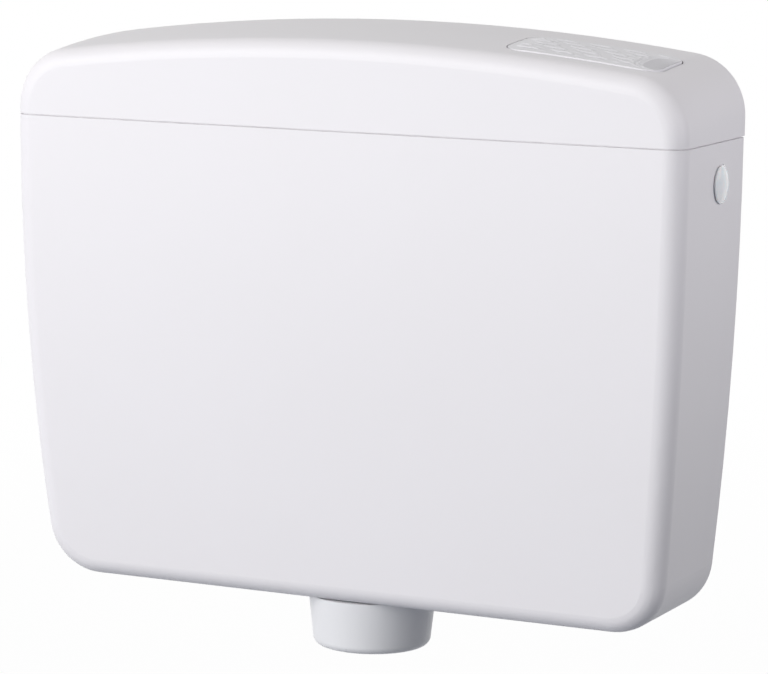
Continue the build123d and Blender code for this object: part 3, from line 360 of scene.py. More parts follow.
def flow_lines():
    """Cloudy swirls that a natural resin shows round its gates."""
    tree, source, sink = new_tree("ShaderNodeTree", "Flow lines", [
        ("Place", VECTOR, None), ("Size", FLOAT, 0.03)], [("Cloud", FLOAT)])
    scale = 1.0 / Field(tree, source["Size"])
    warp = noise(tree, source["Place"], scale * 0.6, 2.0)
    x, y, z = parts_of(tree, source["Place"])
    bent = joined(tree, x + warp * 0.04, y + warp * 0.03, z * 0.4)
    feed(tree, sink["Cloud"], noise(tree, bent, scale, 4.0, 0.6).between(0.3, 0.7))
    return tree


def fine_scuffs():
    """Sparse hairlines and rub marks from handling."""
    tree, source, sink = new_tree("ShaderNodeTree", "Fine scuffs", [
        ("Place", VECTOR, None), ("Size", FLOAT, 0.01)], [("Scuff", FLOAT)])
    scale = 1.0 / Field(tree, source["Size"])
    x, y, z = parts_of(tree, source["Place"])
    lines = noise(tree, joined(tree, x * 0.25, y * 0.25, z * 6.0), scale * 3.0, 3.0, 0.6)
    patch = noise(tree, source["Place"], scale * 0.4, 2.0)
    feed(tree, sink["Scuff"], lines.between(0.60, 0.72) * patch.between(0.5, 0.7))
    return tree


def drawn_streaks():
    """Long fine streaks along one axis, as drawn wire and turned pins have."""
    tree, source, sink = new_tree("ShaderNodeTree", "Drawn streaks", [
        ("Place", VECTOR, None), ("Stretch", VECTOR, (1.0, 1.0, 0.05)), ("Size", FLOAT, 0.0004)],
        [("Streak", FLOAT)])
    stretched = put(tree, "ShaderNodeVectorMath", {0: source["Place"], 1: source["Stretch"]},
                    operation="MULTIPLY")
    streak = noise(tree, stretched.outputs[0], 1.0 / Field(tree, source["Size"]), 3.0, 0.6)
    feed(tree, sink["Streak"], streak)
    return tree


EFFECTS = {}


def effect(tree, build, sockets):
    """Place a shared effect in a material, built at its first use."""
    if build not in EFFECTS:
        EFFECTS[build] = build()
    node = put(tree, "ShaderNodeGroup", node_tree=EFFECTS[build])
    for label, value in sockets.items():
        feed(tree, node.inputs[label], value)
    return {output.name: Field(tree, output) for output in node.outputs}


def new_material(name):
    """Material with a Principled surface, and the Object coordinates for its patterns."""
    material = bpy.data.materials.new(name)
    material.use_nodes = True
    tree = material.node_tree
    tree.nodes.clear()
    surface = put(tree, "ShaderNodeBsdfPrincipled")
    output = put(tree, "ShaderNodeOutputMaterial", {"Surface": surface.outputs[0]})
    place = put(tree, "ShaderNodeTexCoord").outputs["Object"]
    return material, tree, surface, place, output


def blended(tree, factor, first, second):
    """Colour between two tones; the mix node's colour sockets are told apart only by number."""
    node = put(tree, "ShaderNodeMix", {0: factor, 6: (*first, 1.0), 7: (*second, 1.0)}, data_type="RGBA")
    return node.outputs[2]


def scaled(tone, factor, tint=(1.0, 1.0, 1.0)):
    """Tone made lighter or darker by a factor, and tinted, with 1 as its limit."""
    return tuple(min(1.0, part * factor * shade) for part, shade in zip(tone, tint))


def relief(tree, surface, height, depth):
    """Bump a surface by a height of 0 to 1 that stands this many millimetres."""
    bump = put(tree, "ShaderNodeBump", {"Height": height, "Strength": 1.0, "Distance": depth * MM})
    feed(tree, surface.inputs["Normal"], bump.outputs[0])


def gloss_white(name, tone, roughness, swell_size=0.03, depth=0.02, grain=0.12):
    """Polished white moulding: slow surface swell, a tone that drifts and faint hairlines."""
    material, tree, surface, place, _ = new_material(name)
    skin = effect(tree, moulded_skin, {"Place": place, "Grain size": 0.0005, "Swell size": swell_size,
                                       "Grain": grain})
    scuffs = effect(tree, fine_scuffs, {"Place": place, "Size": 0.012})
    feed(tree, surface.inputs["Base Color"],
         blended(tree, skin["Drift"], scaled(tone, 0.985, (1.0, 0.998, 0.992)), scaled(tone, 1.012)))
    feed(tree, surface.inputs["Roughness"],
         skin["Speck"] * 0.05 + scuffs["Scuff"] * 0.08 + skin["Drift"] * 0.04 + (roughness - 0.045))
    relief(tree, surface, skin["Height"], depth)
    surface.inputs["IOR"].default_value = 1.52
    return material


def natural_resin(name, tone, roughness, cloud=0.05, grain_size=0.0007, depth=0.02):
    """Satin moulding of acetal or polypropylene, with cloudy flow lines."""
    material, tree, surface, place, _ = new_material(name)
    skin = effect(tree, moulded_skin, {"Place": place, "Grain size": grain_size, "Swell size": 0.006,
                                       "Drift size": 0.03, "Grain": 0.5})
    flow = effect(tree, flow_lines, {"Place": place, "Size": 0.02})
    feed(tree, surface.inputs["Base Color"],
         blended(tree, flow["Cloud"], scaled(tone, 1 - cloud, (1.0, 0.995, 0.98)), scaled(tone, 1 + cloud)))
    feed(tree, surface.inputs["Roughness"], skin["Speck"] * 0.16 + flow["Cloud"] * 0.05 + (roughness - 0.1))
    relief(tree, surface, skin["Height"], depth)
    return material


def moulded_rubber(name, tone):
    """Black rubber with a fine nap and a pale bloom in patches."""
    material, tree, surface, place, _ = new_material(name)
    skin = effect(tree, moulded_skin, {"Place": place, "Grain size": 0.0004, "Swell size": 0.003,
                                       "Drift size": 0.012, "Grain": 0.8})
    bloom = skin["Drift"].between(0.45, 0.75)
    feed(tree, surface.inputs["Base Color"], blended(tree, bloom, tone, scaled(tone, 3.2)))
    feed(tree, surface.inputs["Roughness"], skin["Speck"] * 0.2 + bloom * 0.1 + 0.5)
    relief(tree, surface, skin["Height"], 0.04)
    return material


def stainless(name, tone, roughness, stretch):
    """Drawn or turned stainless steel with streaks along the given axis."""
    material, tree, surface, place, _ = new_material(name)
    streaks = effect(tree, drawn_streaks, {"Place": place, "Stretch": stretch})
    skin = effect(tree, moulded_skin, {"Place": place, "Grain size": 0.0003, "Swell size": 0.002,
                                       "Drift size": 0.008})
    feed(tree, surface.inputs["Base Color"],
         blended(tree, streaks["Streak"], scaled(tone, 0.82), scaled(tone, 1.12)))
    feed(tree, surface.inputs["Roughness"],
         streaks["Streak"] * 0.2 + skin["Drift"] * 0.08 + (roughness - 0.12))
    relief(tree, surface, streaks["Streak"], 0.01)
    surface.inputs["Metallic"].default_value = 1.0
    return material


def milky_plug(name, tone):
    """Thin bluish polythene that lets a little light through."""
    material, tree, surface, place, _ = new_material(name)
    skin = effect(tree, moulded_skin, {"Place": place, "Grain size": 0.0005, "Swell size": 0.004,
                                       "Drift size": 0.012, "Grain": 0.25})
    flow = effect(tree, flow_lines, {"Place": place, "Size": 0.012})
    feed(tree, surface.inputs["Base Color"],
         blended(tree, flow["Cloud"], scaled(tone, 0.94, (0.97, 1.0, 1.0)), scaled(tone, 1.06)))
    feed(tree, surface.inputs["Roughness"], skin["Speck"] * 0.08 + 0.22)
    relief(tree, surface, skin["Height"], 0.03)
    surface.inputs["Subsurface Weight"].default_value = 0.35
    surface.inputs["Subsurface Radius"].default_value = (0.6, 0.9, 1.0)
    surface.inputs["Subsurface Scale"].default_value = 3 * MM
    surface.inputs["Coat Weight"].default_value = 0.7
    surface.inputs["Coat Roughness"].default_value = 0.18
    return material


FINISHES = {}


def finish(name):
    """Material of one finish, made at its first use."""
    if name in FINISHES:
        return FINISHES[name]
    tones = bpy.context.scene.cistern_colours
    makers = {
        "casing": lambda: gloss_white("Casing white", tones.casing, tones.casing_roughness),
        "plate": lambda: gloss_white("Plate white", tones.plate, tones.plate_roughness,
                                     swell_size=0.012, depth=0.012, grain=0.4),
        "pipe_nut": lambda: gloss_white("Nut white", tones.nut, 0.36,
                                        swell_size=0.015, depth=0.015, grain=0.3),
        "plug": lambda: milky_plug("Plug polythene", tones.plug),
        "acetal": lambda: natural_resin("Natural acetal", tones.acetal, 0.4),
        "grey": lambda: natural_resin("Light grey resin", tones.grey, 0.45, cloud=0.08),
        "floats": lambda: natural_resin("Float resin", tones.floats, 0.42, cloud=0.04),
        "rubber": lambda: moulded_rubber("Black rubber", tones.rubber),
        # Finger dish: a matt finish, and a base colour darkened to 0.93 of the plate's as painted shade in
        # the hollow
        "dish": lambda: gloss_white("Dish matt with painted shade", scaled(tones.plate, 0.93), 0.75,
                                    swell_size=0.012, depth=0.02, grain=0.6),
        "pin_steel": lambda: stainless("Pin steel", tones.steel, 0.3, stretch=(1.0, 0.05, 1.0)),
        "wire_steel": lambda: stainless("Spring wire", tones.steel, 0.3, stretch=(0.4, 0.4, 1.0)),
    }
    FINISHES[name] = makers[name]()
    return FINISHES[name]


def dress(finish_name, *names):
    """Give CAD nodes a finish in place of their plain one."""
    for name in names:
        data = NODES[name].data
        data.materials.clear()
        data.materials.append(finish(finish_name))


# Mesh pieces

def grown(name, tree, values, points=()):
    """Plain mesh made by a geometry tree from its named inputs and, if given, start points."""
    start = bpy.data.meshes.new(name)
    start.from_pydata([tuple(point) for point in points], [], [])
    seed = bpy.data.objects.new(name, start)
    bpy.context.scene.collection.objects.link(seed)
    modifier = seed.modifiers.new("Grow", "NODES")
    modifier.node_group = tree
    for item in tree.interface.items_tree:
        if item.item_type == "SOCKET" and item.in_out == "INPUT" and item.name in values:
            modifier[item.identifier] = values[item.name]
    graph = bpy.context.evaluated_depsgraph_get()
    mesh = bpy.data.meshes.new_from_object(seed.evaluated_get(graph), depsgraph=graph)
    bpy.data.objects.remove(seed)
    return mesh


def tidy(mesh, sharp_degrees=35.0):
    """Merge doubles, turn the faces outwards and shade smooth except at sharp edges."""
    work = bmesh.new()
    work.from_mesh(mesh)
    bmesh.ops.remove_doubles(work, verts=work.verts, dist=1e-6)
    bmesh.ops.dissolve_degenerate(work, edges=work.edges, dist=1e-7)
    bmesh.ops.recalc_face_normals(work, faces=work.faces)
    work.to_mesh(mesh)
    work.free()
    mesh.shade_smooth()
    mesh.set_sharp_from_angle(angle=math.radians(sharp_degrees))
    return mesh


def piece(name, mesh, body, replaces=()):
    """Put a finished mesh in the scene as a piece that rides on a CAD body."""
    mesh.name = name
    thing = bpy.data.objects.new(name, mesh)
    bpy.context.scene.collection.objects.link(thing)
    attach(thing, body)
    if replaces:
        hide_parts(*replaces)
    return thing


def node_copy(name):
    """Merged copy of a CAD node's mesh."""
    mesh = NODES[name].data.copy()
    work = bmesh.new()
    work.from_mesh(mesh)
    bmesh.ops.remove_doubles(work, verts=work.verts, dist=1e-6)
    work.to_mesh(mesh)
    work.free()
    return mesh


def turned(outline, columns=96):
    """Closed mesh of revolution about Z from (radius, height) pairs; a radius of 0 is a pole."""
    work = bmesh.new()
    rings = []
    for radius, height in outline:
        if radius == 0:
            rings.append([work.verts.new((0, 0, height))])
            continue
        turns = [math.tau * index / columns for index in range(columns)]
        rings.append([work.verts.new((radius * math.cos(t), radius * math.sin(t), height)) for t in turns])
    for low, high in zip(rings, rings[1:] + rings[:1]):
        if len(low) == 1 and len(high) == 1:
            continue
        for index in range(columns):
            after = (index + 1) % columns
            corners = [low[index % len(low)], low[after % len(low)],
                       high[after % len(high)], high[index % len(high)]]
            work.faces.new(list(dict.fromkeys(corners)))
    bmesh.ops.recalc_face_normals(work, faces=work.faces)
    mesh = bpy.data.meshes.new("turned")
    work.to_mesh(mesh)
    work.free()
    return mesh


def combined(*meshes):
    """Join meshes into the first of them."""
    work = bmesh.new()
    for mesh in meshes:
        work.from_mesh(mesh)
    result = meshes[0]
    work.to_mesh(result)
    work.free()
    return result


def hex_nut(flats, bore, thick, columns=96):
    """Nut standing on Z from 0 to thick, its corners chamfered by a 30 degree cone on both faces."""
    half = flats / 2
    face = half * NUT_FACE_SHARE
    slope = math.tan(math.radians(30))
    lead = NUT_LEAD
    work = bmesh.new()
    rows = []
    for index in range(columns):
        turn = math.tau * index / columns
        reach = half / math.cos((turn + math.pi / 6) % (math.pi / 3) - math.pi / 6)
        cut = max(0.0, reach - face) * slope
        profile = [(bore, lead), (bore + lead, 0), (face, 0), (reach, cut),
                   (reach, thick - cut), (face, thick), (bore + lead, thick), (bore, thick - lead)]
        rows.append([work.verts.new((r * math.cos(turn), r * math.sin(turn), z)) for r, z in profile])
    for row, after in zip(rows, rows[1:] + rows[:1]):
        for low in range(len(row)):
            high = (low + 1) % len(row)
            work.faces.new((row[low], after[low], after[high], row[high]))
    bmesh.ops.recalc_face_normals(work, faces=work.faces)
    mesh = bpy.data.meshes.new("nut")
    work.to_mesh(mesh)
    work.free()
    return mesh


def recessed(mesh, top):
    """Cut a tapered cross into the top of a screw's head."""
    work = bmesh.new()
    for turn in (0, math.pi / 2):
        bar = bmesh.ops.create_cube(work, size=1.0)["verts"]
        for point in bar:
            wide = 1.0 if point.co.z > 0 else RECESS_TAPER_SHARE
            point.co = Vector((point.co.x * RECESS_LONG * wide, point.co.y * RECESS_WIDE * wide,
                               top + (point.co.z + RECESS_RISE_SHARE) * RECESS_TALL))
            point.co = Matrix.Rotation(turn, 3, "Z") @ point.co
    cross = bpy.data.meshes.new("Cross")
    work.to_mesh(cross)
    work.free()
    body = bpy.data.objects.new("Screw", mesh)
    cutter = bpy.data.objects.new("Cross", cross)
    for thing in (body, cutter):
        bpy.context.scene.collection.objects.link(thing)
    cut = body.modifiers.new("Cut", "BOOLEAN")
    cut.operation = "DIFFERENCE"
    cut.solver = "EXACT"
    cut.use_self = True
    cut.object = cutter
    graph = bpy.context.evaluated_depsgraph_get()
    result = bpy.data.meshes.new_from_object(body.evaluated_get(graph), depsgraph=graph)
    bpy.data.objects.remove(body)
    bpy.data.objects.remove(cutter)
    result.materials.clear()
    return tidy(result)


AXIS_TURNS = {
    "Z": Matrix.Identity(4),
    "X": Matrix.Rotation(math.radians(90), 4, "Y"),
}


def placed(mesh, point, axis="Z"):
    """Turn a mesh made on Z to its axis, and move it to its point."""
    mesh.transform(Matrix.Translation(point) @ AXIS_TURNS[axis])
    return mesh


# Geometry trees

def end_tree(tree, geometry, source, sink):
    """End a tree in real geometry with the finish that came in."""
    real = put(tree, "GeometryNodeRealizeInstances", {"Geometry": geometry})
    dressed = put(tree, "GeometryNodeSetMaterial", {"Geometry": real.outputs[0],
                                                    "Material": source["Material"]})
    feed(tree, sink["Geometry"], dressed.outputs[0])


def thread_tree():
    """Threaded sleeve on Z: a closed skin whose outer wall rises and falls along a helix."""
    tree, source, sink = new_tree("GeometryNodeTree", "Thread", [
        ("Geometry", GEOMETRY, None), ("Length", FLOAT, 0.02), ("Pitch", FLOAT, 0.001),
        ("Crest radius", FLOAT, 0.008), ("Root radius", FLOAT, 0.007), ("Inner radius", FLOAT, 0.006),
        ("Rows", WHOLE, 100), ("Columns", WHOLE, 40), ("Material", FINISH, None)],
        [("Geometry", GEOMETRY)])
    get = {item.name: Field(tree, item) for item in source if item.name}
    grid = put(tree, "GeometryNodeMeshGrid", {"Size X": 1.0, "Size Y": 1.0, "Vertices X": get["Rows"] + 4,
                                              "Vertices Y": get["Columns"] + 1})
    across, around, _ = parts_of(tree, put(tree, "GeometryNodeInputPosition").outputs[0])
    # The first row and the two after the outer wall's last lie on the inner wall and close the sleeve
    row = ((across + 0.5) * (get["Rows"] + 3)).maths("ROUND")
    turn = around + 0.5
    last = row.maths("GREATER_THAN", get["Rows"] + 2.5)
    along = ((row - 1) / get["Rows"]).clamped() * get["Length"] * (1 - last)
    outer = row.maths("GREATER_THAN", 0.5) * row.maths("LESS_THAN", get["Rows"] + 1.5)
    wave = abs((along / get["Pitch"] - turn).maths("FRACT") * 2 - 1)
    fade = (along.least(get["Length"] - along) / get["Pitch"]).clamped()
    flank = ((wave - THREAD_FLAT_SHARE) / (1 - THREAD_FLAT_SHARE * 2)).clamped() * fade
    skin = get["Root radius"] + (get["Crest radius"] - get["Root radius"]) * flank
    radius = outer * skin + (1 - outer) * get["Inner radius"]
    angle = turn * math.tau
    spot = joined(tree, radius * angle.maths("COSINE"), radius * angle.maths("SINE"), along)
    shaped = put(tree, "GeometryNodeSetPosition", {"Geometry": grid.outputs["Mesh"], "Position": spot})
    closed = put(tree, "GeometryNodeMergeByDistance", {"Geometry": shaped.outputs[0], "Distance": 1e-6})
    end_tree(tree, closed.outputs[0], source, sink)
    return tree


def spring_tree():
    """Compression spring on Z with closed end turns."""
    tree, source, sink = new_tree("GeometryNodeTree", "Return spring", [
        ("Geometry", GEOMETRY, None), ("Height", FLOAT, 0.028), ("Coil radius", FLOAT, 0.0068),
        ("Wire radius", FLOAT, 0.0006), ("Turns", FLOAT, 8.5), ("Closed turns", FLOAT, 0.8),
        ("Material", FINISH, None)], [("Geometry", GEOMETRY)])
    get = {item.name: Field(tree, item) for item in source if item.name}
    spiral = put(tree, "GeometryNodeCurveSpiral", {
        "Resolution": 40, "Rotations": get["Turns"], "Start Radius": get["Coil radius"],
        "End Radius": get["Coil radius"], "Height": 1.0})
    x, y, along = parts_of(tree, put(tree, "GeometryNodeInputPosition").outputs[0])
    # An end turn rises by a little over the wire's thickness, and the turns between share the rest
    end = get["Closed turns"] / get["Turns"]
    step = get["Wire radius"] * 2.1 * get["Closed turns"]
    middle = get["Height"] - get["Wire radius"] * 2 - step * 2
    rise = (along / end).clamped() * step + ((along - end) / (1 - end * 2)).clamped() * middle
    rise = rise + ((along - 1 + end) / end).clamped() * step + get["Wire radius"]
    shaped = put(tree, "GeometryNodeSetPosition", {"Geometry": spiral.outputs[0],
                                                   "Position": joined(tree, x, y, rise)})
    ring = put(tree, "GeometryNodeCurvePrimitiveCircle", {"Resolution": 14, "Radius": get["Wire radius"]})
    wire = put(tree, "GeometryNodeCurveToMesh", {"Curve": shaped.outputs[0], "Profile Curve": ring.outputs[0],
                                                 "Fill Caps": True})
    end_tree(tree, wire.outputs[0], source, sink)
    return tree


def fastener_tree():
    """One fastener repeated on the points of the input mesh."""
    tree, source, sink = new_tree("GeometryNodeTree", "Fasteners", [
        ("Geometry", GEOMETRY, None), ("Fastener", THING, None), ("Material", FINISH, None)],
        [("Geometry", GEOMETRY)])
    single = put(tree, "GeometryNodeObjectInfo", {"Object": source["Fastener"]})
    spread = put(tree, "GeometryNodeInstanceOnPoints", {"Points": source["Geometry"],
                                                        "Instance": single.outputs["Geometry"]})
    end_tree(tree, spread.outputs[0], source, sink)
    return tree


def ridges(tree, along, line, pitch, reach, hook, seed):
    """Rows of short welts along X, one row per whole number of line, each with its ends turned aside."""
    row = (line + 0.5).maths("FLOOR")
    across = (line - row) * pitch
    turn = (along / reach + row * WELT_ROW_SHIFT_SHARE + seed).maths("FRACT")
    ahead = turn * reach
    behind = (1 - turn) * reach
    start = WELT_GAP * 0.5
    full, curl = start + WELT_TAPER, start + WELT_CURL
    present = ahead.between(start, full) * behind.between(start, full)
    spot = joined(tree, along * WANDER_SCALE, row * WANDER_ROW_STEP, seed)
    wander = (noise(tree, spot, 1.0, 1.0) - 0.5) * WELT_WANDER
    bend = hook * (behind.between(start, curl) - ahead.between(start, curl)) + wander
    return (1 - abs(across - bend).between(WELT_TOP, WELT_FOOT)) * present


def dish_level(inward, aside):
    """Below 1 inside the finger dish, 1 at its rim; takes numbers or fields."""
    square = aside * aside
    return inward * 0.5 + inward * inward * 0.5 + square * square


def plate_tree():
    """Push plate's skin, proud of the lid: domed, rounded at the rim, welted, and dished at its end."""
    tree, source, sink = new_tree("GeometryNodeTree", "Plate skin", [
        ("Geometry", GEOMETRY, None), ("Centre", VECTOR, (0, 0, 0)),
        ("Length", FLOAT, 0.099), ("Width", FLOAT, 0.051), ("Corner", FLOAT, 0.012),
        ("Columns", WHOLE, 221), ("Rows", WHOLE, 161), ("Apex", FLOAT, 0.0942), ("Dome radius", FLOAT, 1.45),
        ("Crown radius", FLOAT, 0.69), ("Proud", FLOAT, 0.0007), ("Hinge proud", FLOAT, 0.00005),
        ("Rim radius", FLOAT, 0.0008), ("Skirt", FLOAT, 0.0025), ("Dish across", FLOAT, 0.0),
        ("Dish length", FLOAT, 0.014), ("Dish width", FLOAT, 0.038), ("Dish depth", FLOAT, 0.002),
        ("Welt pitch", FLOAT, 0.0086), ("Welt length", FLOAT, 0.022), ("Welt height", FLOAT, 0.0006),
        ("Border", FLOAT, 0.005), ("Material", FINISH, None)],
        [("Geometry", GEOMETRY)])
    get = {item.name: Field(tree, item) for item in source if item.name}
    grid = put(tree, "GeometryNodeMeshGrid", {"Size X": 2.0, "Size Y": 2.0, "Vertices X": get["Columns"],
                                              "Vertices Y": get["Rows"]})
    u, v, _ = parts_of(tree, put(tree, "GeometryNodeInputPosition").outputs[0])

    # Plan: the square grid drawn out to the plate's length and width, with round corners
    border = abs(u).most(abs(v)).maths("GREATER_THAN", 0.9999)
    corner, half_long, half_wide = get["Corner"], get["Length"] / 2, get["Width"] / 2
    across = v * (1.5 - v * v * 0.5) * half_wide
    over_y = (abs(across) - half_wide + corner).most(0.0)
    straight = half_long - corner
    along = u * (1.5 - u * u * 0.5) * (straight + (corner * corner - over_y * over_y).most(0.0).root())
    over_x = (abs(along) - straight).most(0.0)
    from_edge = corner - (over_x * over_x + over_y * over_y).root()
    centre_x, centre_y, _ = parts_of(tree, source["Centre"])
    x, y = along + centre_x, across + centre_y

    # Top: over the lid's own skin, almost level with it at the hinge and rounded down at the rim
    ridge = get["Apex"] - get["Dome radius"] + (get["Dome radius"] * get["Dome radius"] - x * x).root()
    reach = ridge - get["Apex"] + get["Crown radius"]
    skin = ridge - reach + (reach * reach - y * y).root()
    rim = get["Rim radius"]
    tucked = (rim - from_edge).most(0.0)
    swell = (along + half_long).between(PROUD_FROM, PROUD_FULL)
    proud = get["Hinge proud"] + (get["Proud"] - get["Hinge proud"]) * swell
    top = skin + proud - (rim - (rim * rim - tucked * tucked).most(0.0).root()) * swell

    # Finger dish at the free end
    inward = (half_long - along) / get["Dish length"]
    aside = (y - get["Dish across"]) / (get["Dish width"] / 2)
    level = dish_level(inward, aside)
    dished = (1 - level).most(0.0) * get["Dish depth"] * from_edge.between(0.3 * MM, 1.6 * MM)

    # Welts along the plate, and two broken arcs of them round the dish
    line = (across + half_wide - FIRST_WELT) / get["Welt pitch"]
    welts = ridges(tree, along, line, get["Welt pitch"], get["Welt length"], WELT_HOOK, seed=0.15)
    short = ridges(tree, along, line + 0.5, get["Welt pitch"], get["Welt length"] * SHORT_WELT_LENGTH_SHARE,
                   SHORT_WELT_HOOK, seed=0.6)
    inside = from_edge.between(get["Border"] - 1.0 * MM, get["Border"] + 1.0 * MM)
    clear = level.between(*WELTS_BEGIN_LEVEL) * inside
    broken = noise(tree, joined(tree, inward, aside * 2.4, 0.5), 1.0, 1.0).between(*ARC_BREAKS)
    near_arc = 1 - abs(level - NEAR_ARC_LEVEL).between(*NEAR_ARC_FADE)
    far_arc = 1 - abs(level - FAR_ARC_LEVEL).between(*FAR_ARC_FADE)
    arcs = near_arc.most(far_arc * FAR_ARC_HEIGHT_SHARE) * broken * from_edge.between(2.5 * MM, 4.5 * MM)
    flow = welts.most(short * SHORT_WELT_HEIGHT_SHARE) * clear * level.between(*ROWS_BEGIN_LEVEL)
    top = top - dished + flow.most(arcs) * get["Welt height"]

    # Walls and underside
    low = skin - get["Skirt"]
    upper = put(tree, "GeometryNodeSetPosition", {
        "Geometry": grid.outputs["Mesh"], "Position": joined(tree, x, y, top * (1 - border) + low * border)})
    under = put(tree, "GeometryNodeSetPosition", {"Geometry": grid.outputs["Mesh"],
                                                  "Position": joined(tree, x, y, low)})
    flipped = put(tree, "GeometryNodeFlipFaces", {"Mesh": under.outputs[0]})
    both = put(tree, "GeometryNodeJoinGeometry")
    tree.links.new(flipped.outputs[0], both.inputs[0])
    tree.links.new(upper.outputs[0], both.inputs[0])
    closed = put(tree, "GeometryNodeMergeByDistance", {"Geometry": both.outputs[0], "Distance": 1e-6})
    end_tree(tree, closed.outputs[0], source, sink)
    return tree


def lid_height(x, y):
    """Height of the lid's domed skin over a point of its plan, clear of the end roundings."""
    ridge = LID_APEX - LID_DOME_R + math.sqrt(LID_DOME_R ** 2 - x * x)
    reach = ridge - LID_APEX + LID_CROWN_R
    return ridge - reach + math.sqrt(reach * reach - y * y)


def corners_of(node):
    """Lowest and highest corner of a CAD node's box."""
    return [Vector(corner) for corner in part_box(node)]


def middle(node):
    low, high = corners_of(node)
    return (low + high) / 2


def fasteners(name, prototype, points, finish_name):
    """Mesh of one fastener repeated at these points."""
    master = bpy.data.objects.new("Fastener", prototype)
    bpy.context.scene.collection.objects.link(master)
    mesh = grown(name, fastener_tree(), {"Fastener": master, "Material": finish(finish_name)}, points)
    bpy.data.objects.remove(master)
    return tidy(mesh)


def threaded(long, pitch, crest, root, inner, finish_name):
    """Threaded sleeve from 0 to long on Z, or a stud where the inner radius is 0."""
    sizes = bpy.context.scene.cistern_sizes
    rows = max(8, round(long / pitch * THREAD_ROWS))
    mesh = grown("thread", thread_tree(), {
        "Length": long, "Pitch": pitch, "Crest radius": crest, "Root radius": root, "Inner radius": inner,
        "Rows": rows, "Columns": sizes.thread_columns, "Material": finish(finish_name)})
    return tidy(mesh, 25.0)


def coated(mesh, finish_name):
    """Give a mesh one finish in place of those that it has."""
    mesh.materials.clear()
    mesh.materials.append(finish(finish_name))
    return mesh


# Pieces

class CISTERN_OT_casing(bpy.types.Operator):
    """Give tank and lid their gloss white finish"""
    bl_idname = "cistern.casing"
    bl_label = "Tank and lid"

    def execute(self, context):
        dress("casing", "tank_body", "lid")
        return {"FINISHED"}


class CISTERN_OT_plate(bpy.types.Operator):
    """Skin the push plate: proud of the lid, rounded at the rim, welted, and dished for the finger"""
    bl_idname = "cistern.plate"
    bl_label = "Push plate"

    def execute(self, context):
        sizes = context.scene.cistern_sizes
        low, high = corners_of("push_plate")
        across = (low.y + high.y) / 2
        mesh = grown("plate_skin", plate_tree(), {
            "Centre": ((low.x + high.x) / 2, across, 0.0),
            "Length": high.x - low.x + PLATE_LAP * 2, "Width": high.y - low.y + PLATE_LAP * 2,
            "Corner": PLATE_CORNER + PLATE_LAP, "Apex": LID_APEX, "Dome radius": LID_DOME_R,
            "Crown radius": LID_CROWN_R, "Proud": sizes.plate_proud, "Skirt": PLATE_SKIRT,
            "Dish across": across - DISH_FORWARD, "Dish length": sizes.dish_length,
            "Dish width": sizes.dish_width, "Dish depth": sizes.dish_depth,
            "Welt pitch": sizes.welt_pitch, "Welt length": sizes.welt_length,
            "Welt height": sizes.welt_height, "Border": sizes.welt_border, "Material": finish("plate")})
        under = node_copy("push_plate")
        for point in under.vertices:
            top = lid_height(point.co.x, point.co.y) - PLATE_SKIRT + PLATE_LAP
            point.co.z = min(point.co.z, top)
        plate = coated(combined(tidy(mesh, sharp_degrees=60.0), tidy(under)), "plate")
        plate.materials.append(finish("dish"))
        # Faces inside the finger dish take the dish finish: matt, with a darker base colour that is painted
        # shade
        for face in plate.polygons:
            inward = (high.x + PLATE_LAP - face.center.x) / sizes.dish_length
            aside = (face.center.y - across + DISH_FORWARD) / (sizes.dish_width / 2)
            face.material_index = int(dish_level(inward, aside) < 1 and face.normal.z > 0.5)
        piece("plate_skin", plate, "plate", ["push_plate"])
        return {"FINISHED"}


class CISTERN_OT_spring(bpy.types.Operator):
    """Wind the return spring under the push rod's head"""
    bl_idname = "cistern.spring"
    bl_label = "Return spring"

    def execute(self, context):
        low, high = corners_of("plate_spring")
        wire = SPRING_WIRE_R
        mesh = grown("return_spring", spring_tree(), {
            "Height": high.z - low.z, "Coil radius": (high.x - low.x) / 2 - wire, "Wire radius": wire,
            "Turns": context.scene.cistern_sizes.spring_turns, "Material": finish("wire_steel")})
        centre = (low + high) / 2
        placed(mesh, (centre.x, centre.y, low.z))
        tidy(mesh, sharp_degrees=50.0)
        spring = piece("return_spring", mesh, "lid", ["plate_spring"])
        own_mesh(spring)
        return {"FINISHED"}


def plug_outline(end, face, rim):
    """Plug's section from its inner end to its domed face, in (radius, place on its axis) pairs."""
    root, lead = INLET_ROOT_R, 0.5 * MM
    seat = face - PLUG_HEAD
    neck, flange = seat - PLUG_NECK, seat + PLUG_FLANGE
    # From the bore's mouth along the shank, out over the flange and into the groove
    outline = [
        (PLUG_BORE_R, end + 0.4 * MM), (PLUG_BORE_R + lead, end), (root - lead, end), (root, end + lead),
        (root, neck - 0.6 * MM), (INLET_CREST_R, neck), (INLET_CREST_R, seat), (rim - 1.4 * MM, seat),
        (rim - 1.3 * MM, seat + 0.4 * MM), (rim - 0.3 * MM, seat + 0.5 * MM), (rim, seat + 0.75 * MM),
        (rim, flange), (rim - 0.15 * MM, flange + 0.2 * MM), (rim - 0.4 * MM, flange + 0.3 * MM),
        (rim - 0.65 * MM, flange + 0.2 * MM), (rim - PLUG_GROOVE, flange)]
    foot, base = rim - PLUG_GROOVE - 0.05 * MM, flange + 0.05 * MM
    # Domed cap, then down its axis and back to the bore
    crown = face - base
    steps = 12
    for step in range(1, steps):
        out = 1 - step / steps
        outline.append((foot * out, base + crown * (1 - out ** PLUG_DOME_POWER)))
    bottom = face - PLUG_HEAD * 0.8
    return outline + [(0, face), (0, bottom), (PLUG_BORE_R - 0.6 * MM, bottom), (PLUG_BORE_R, seat)]


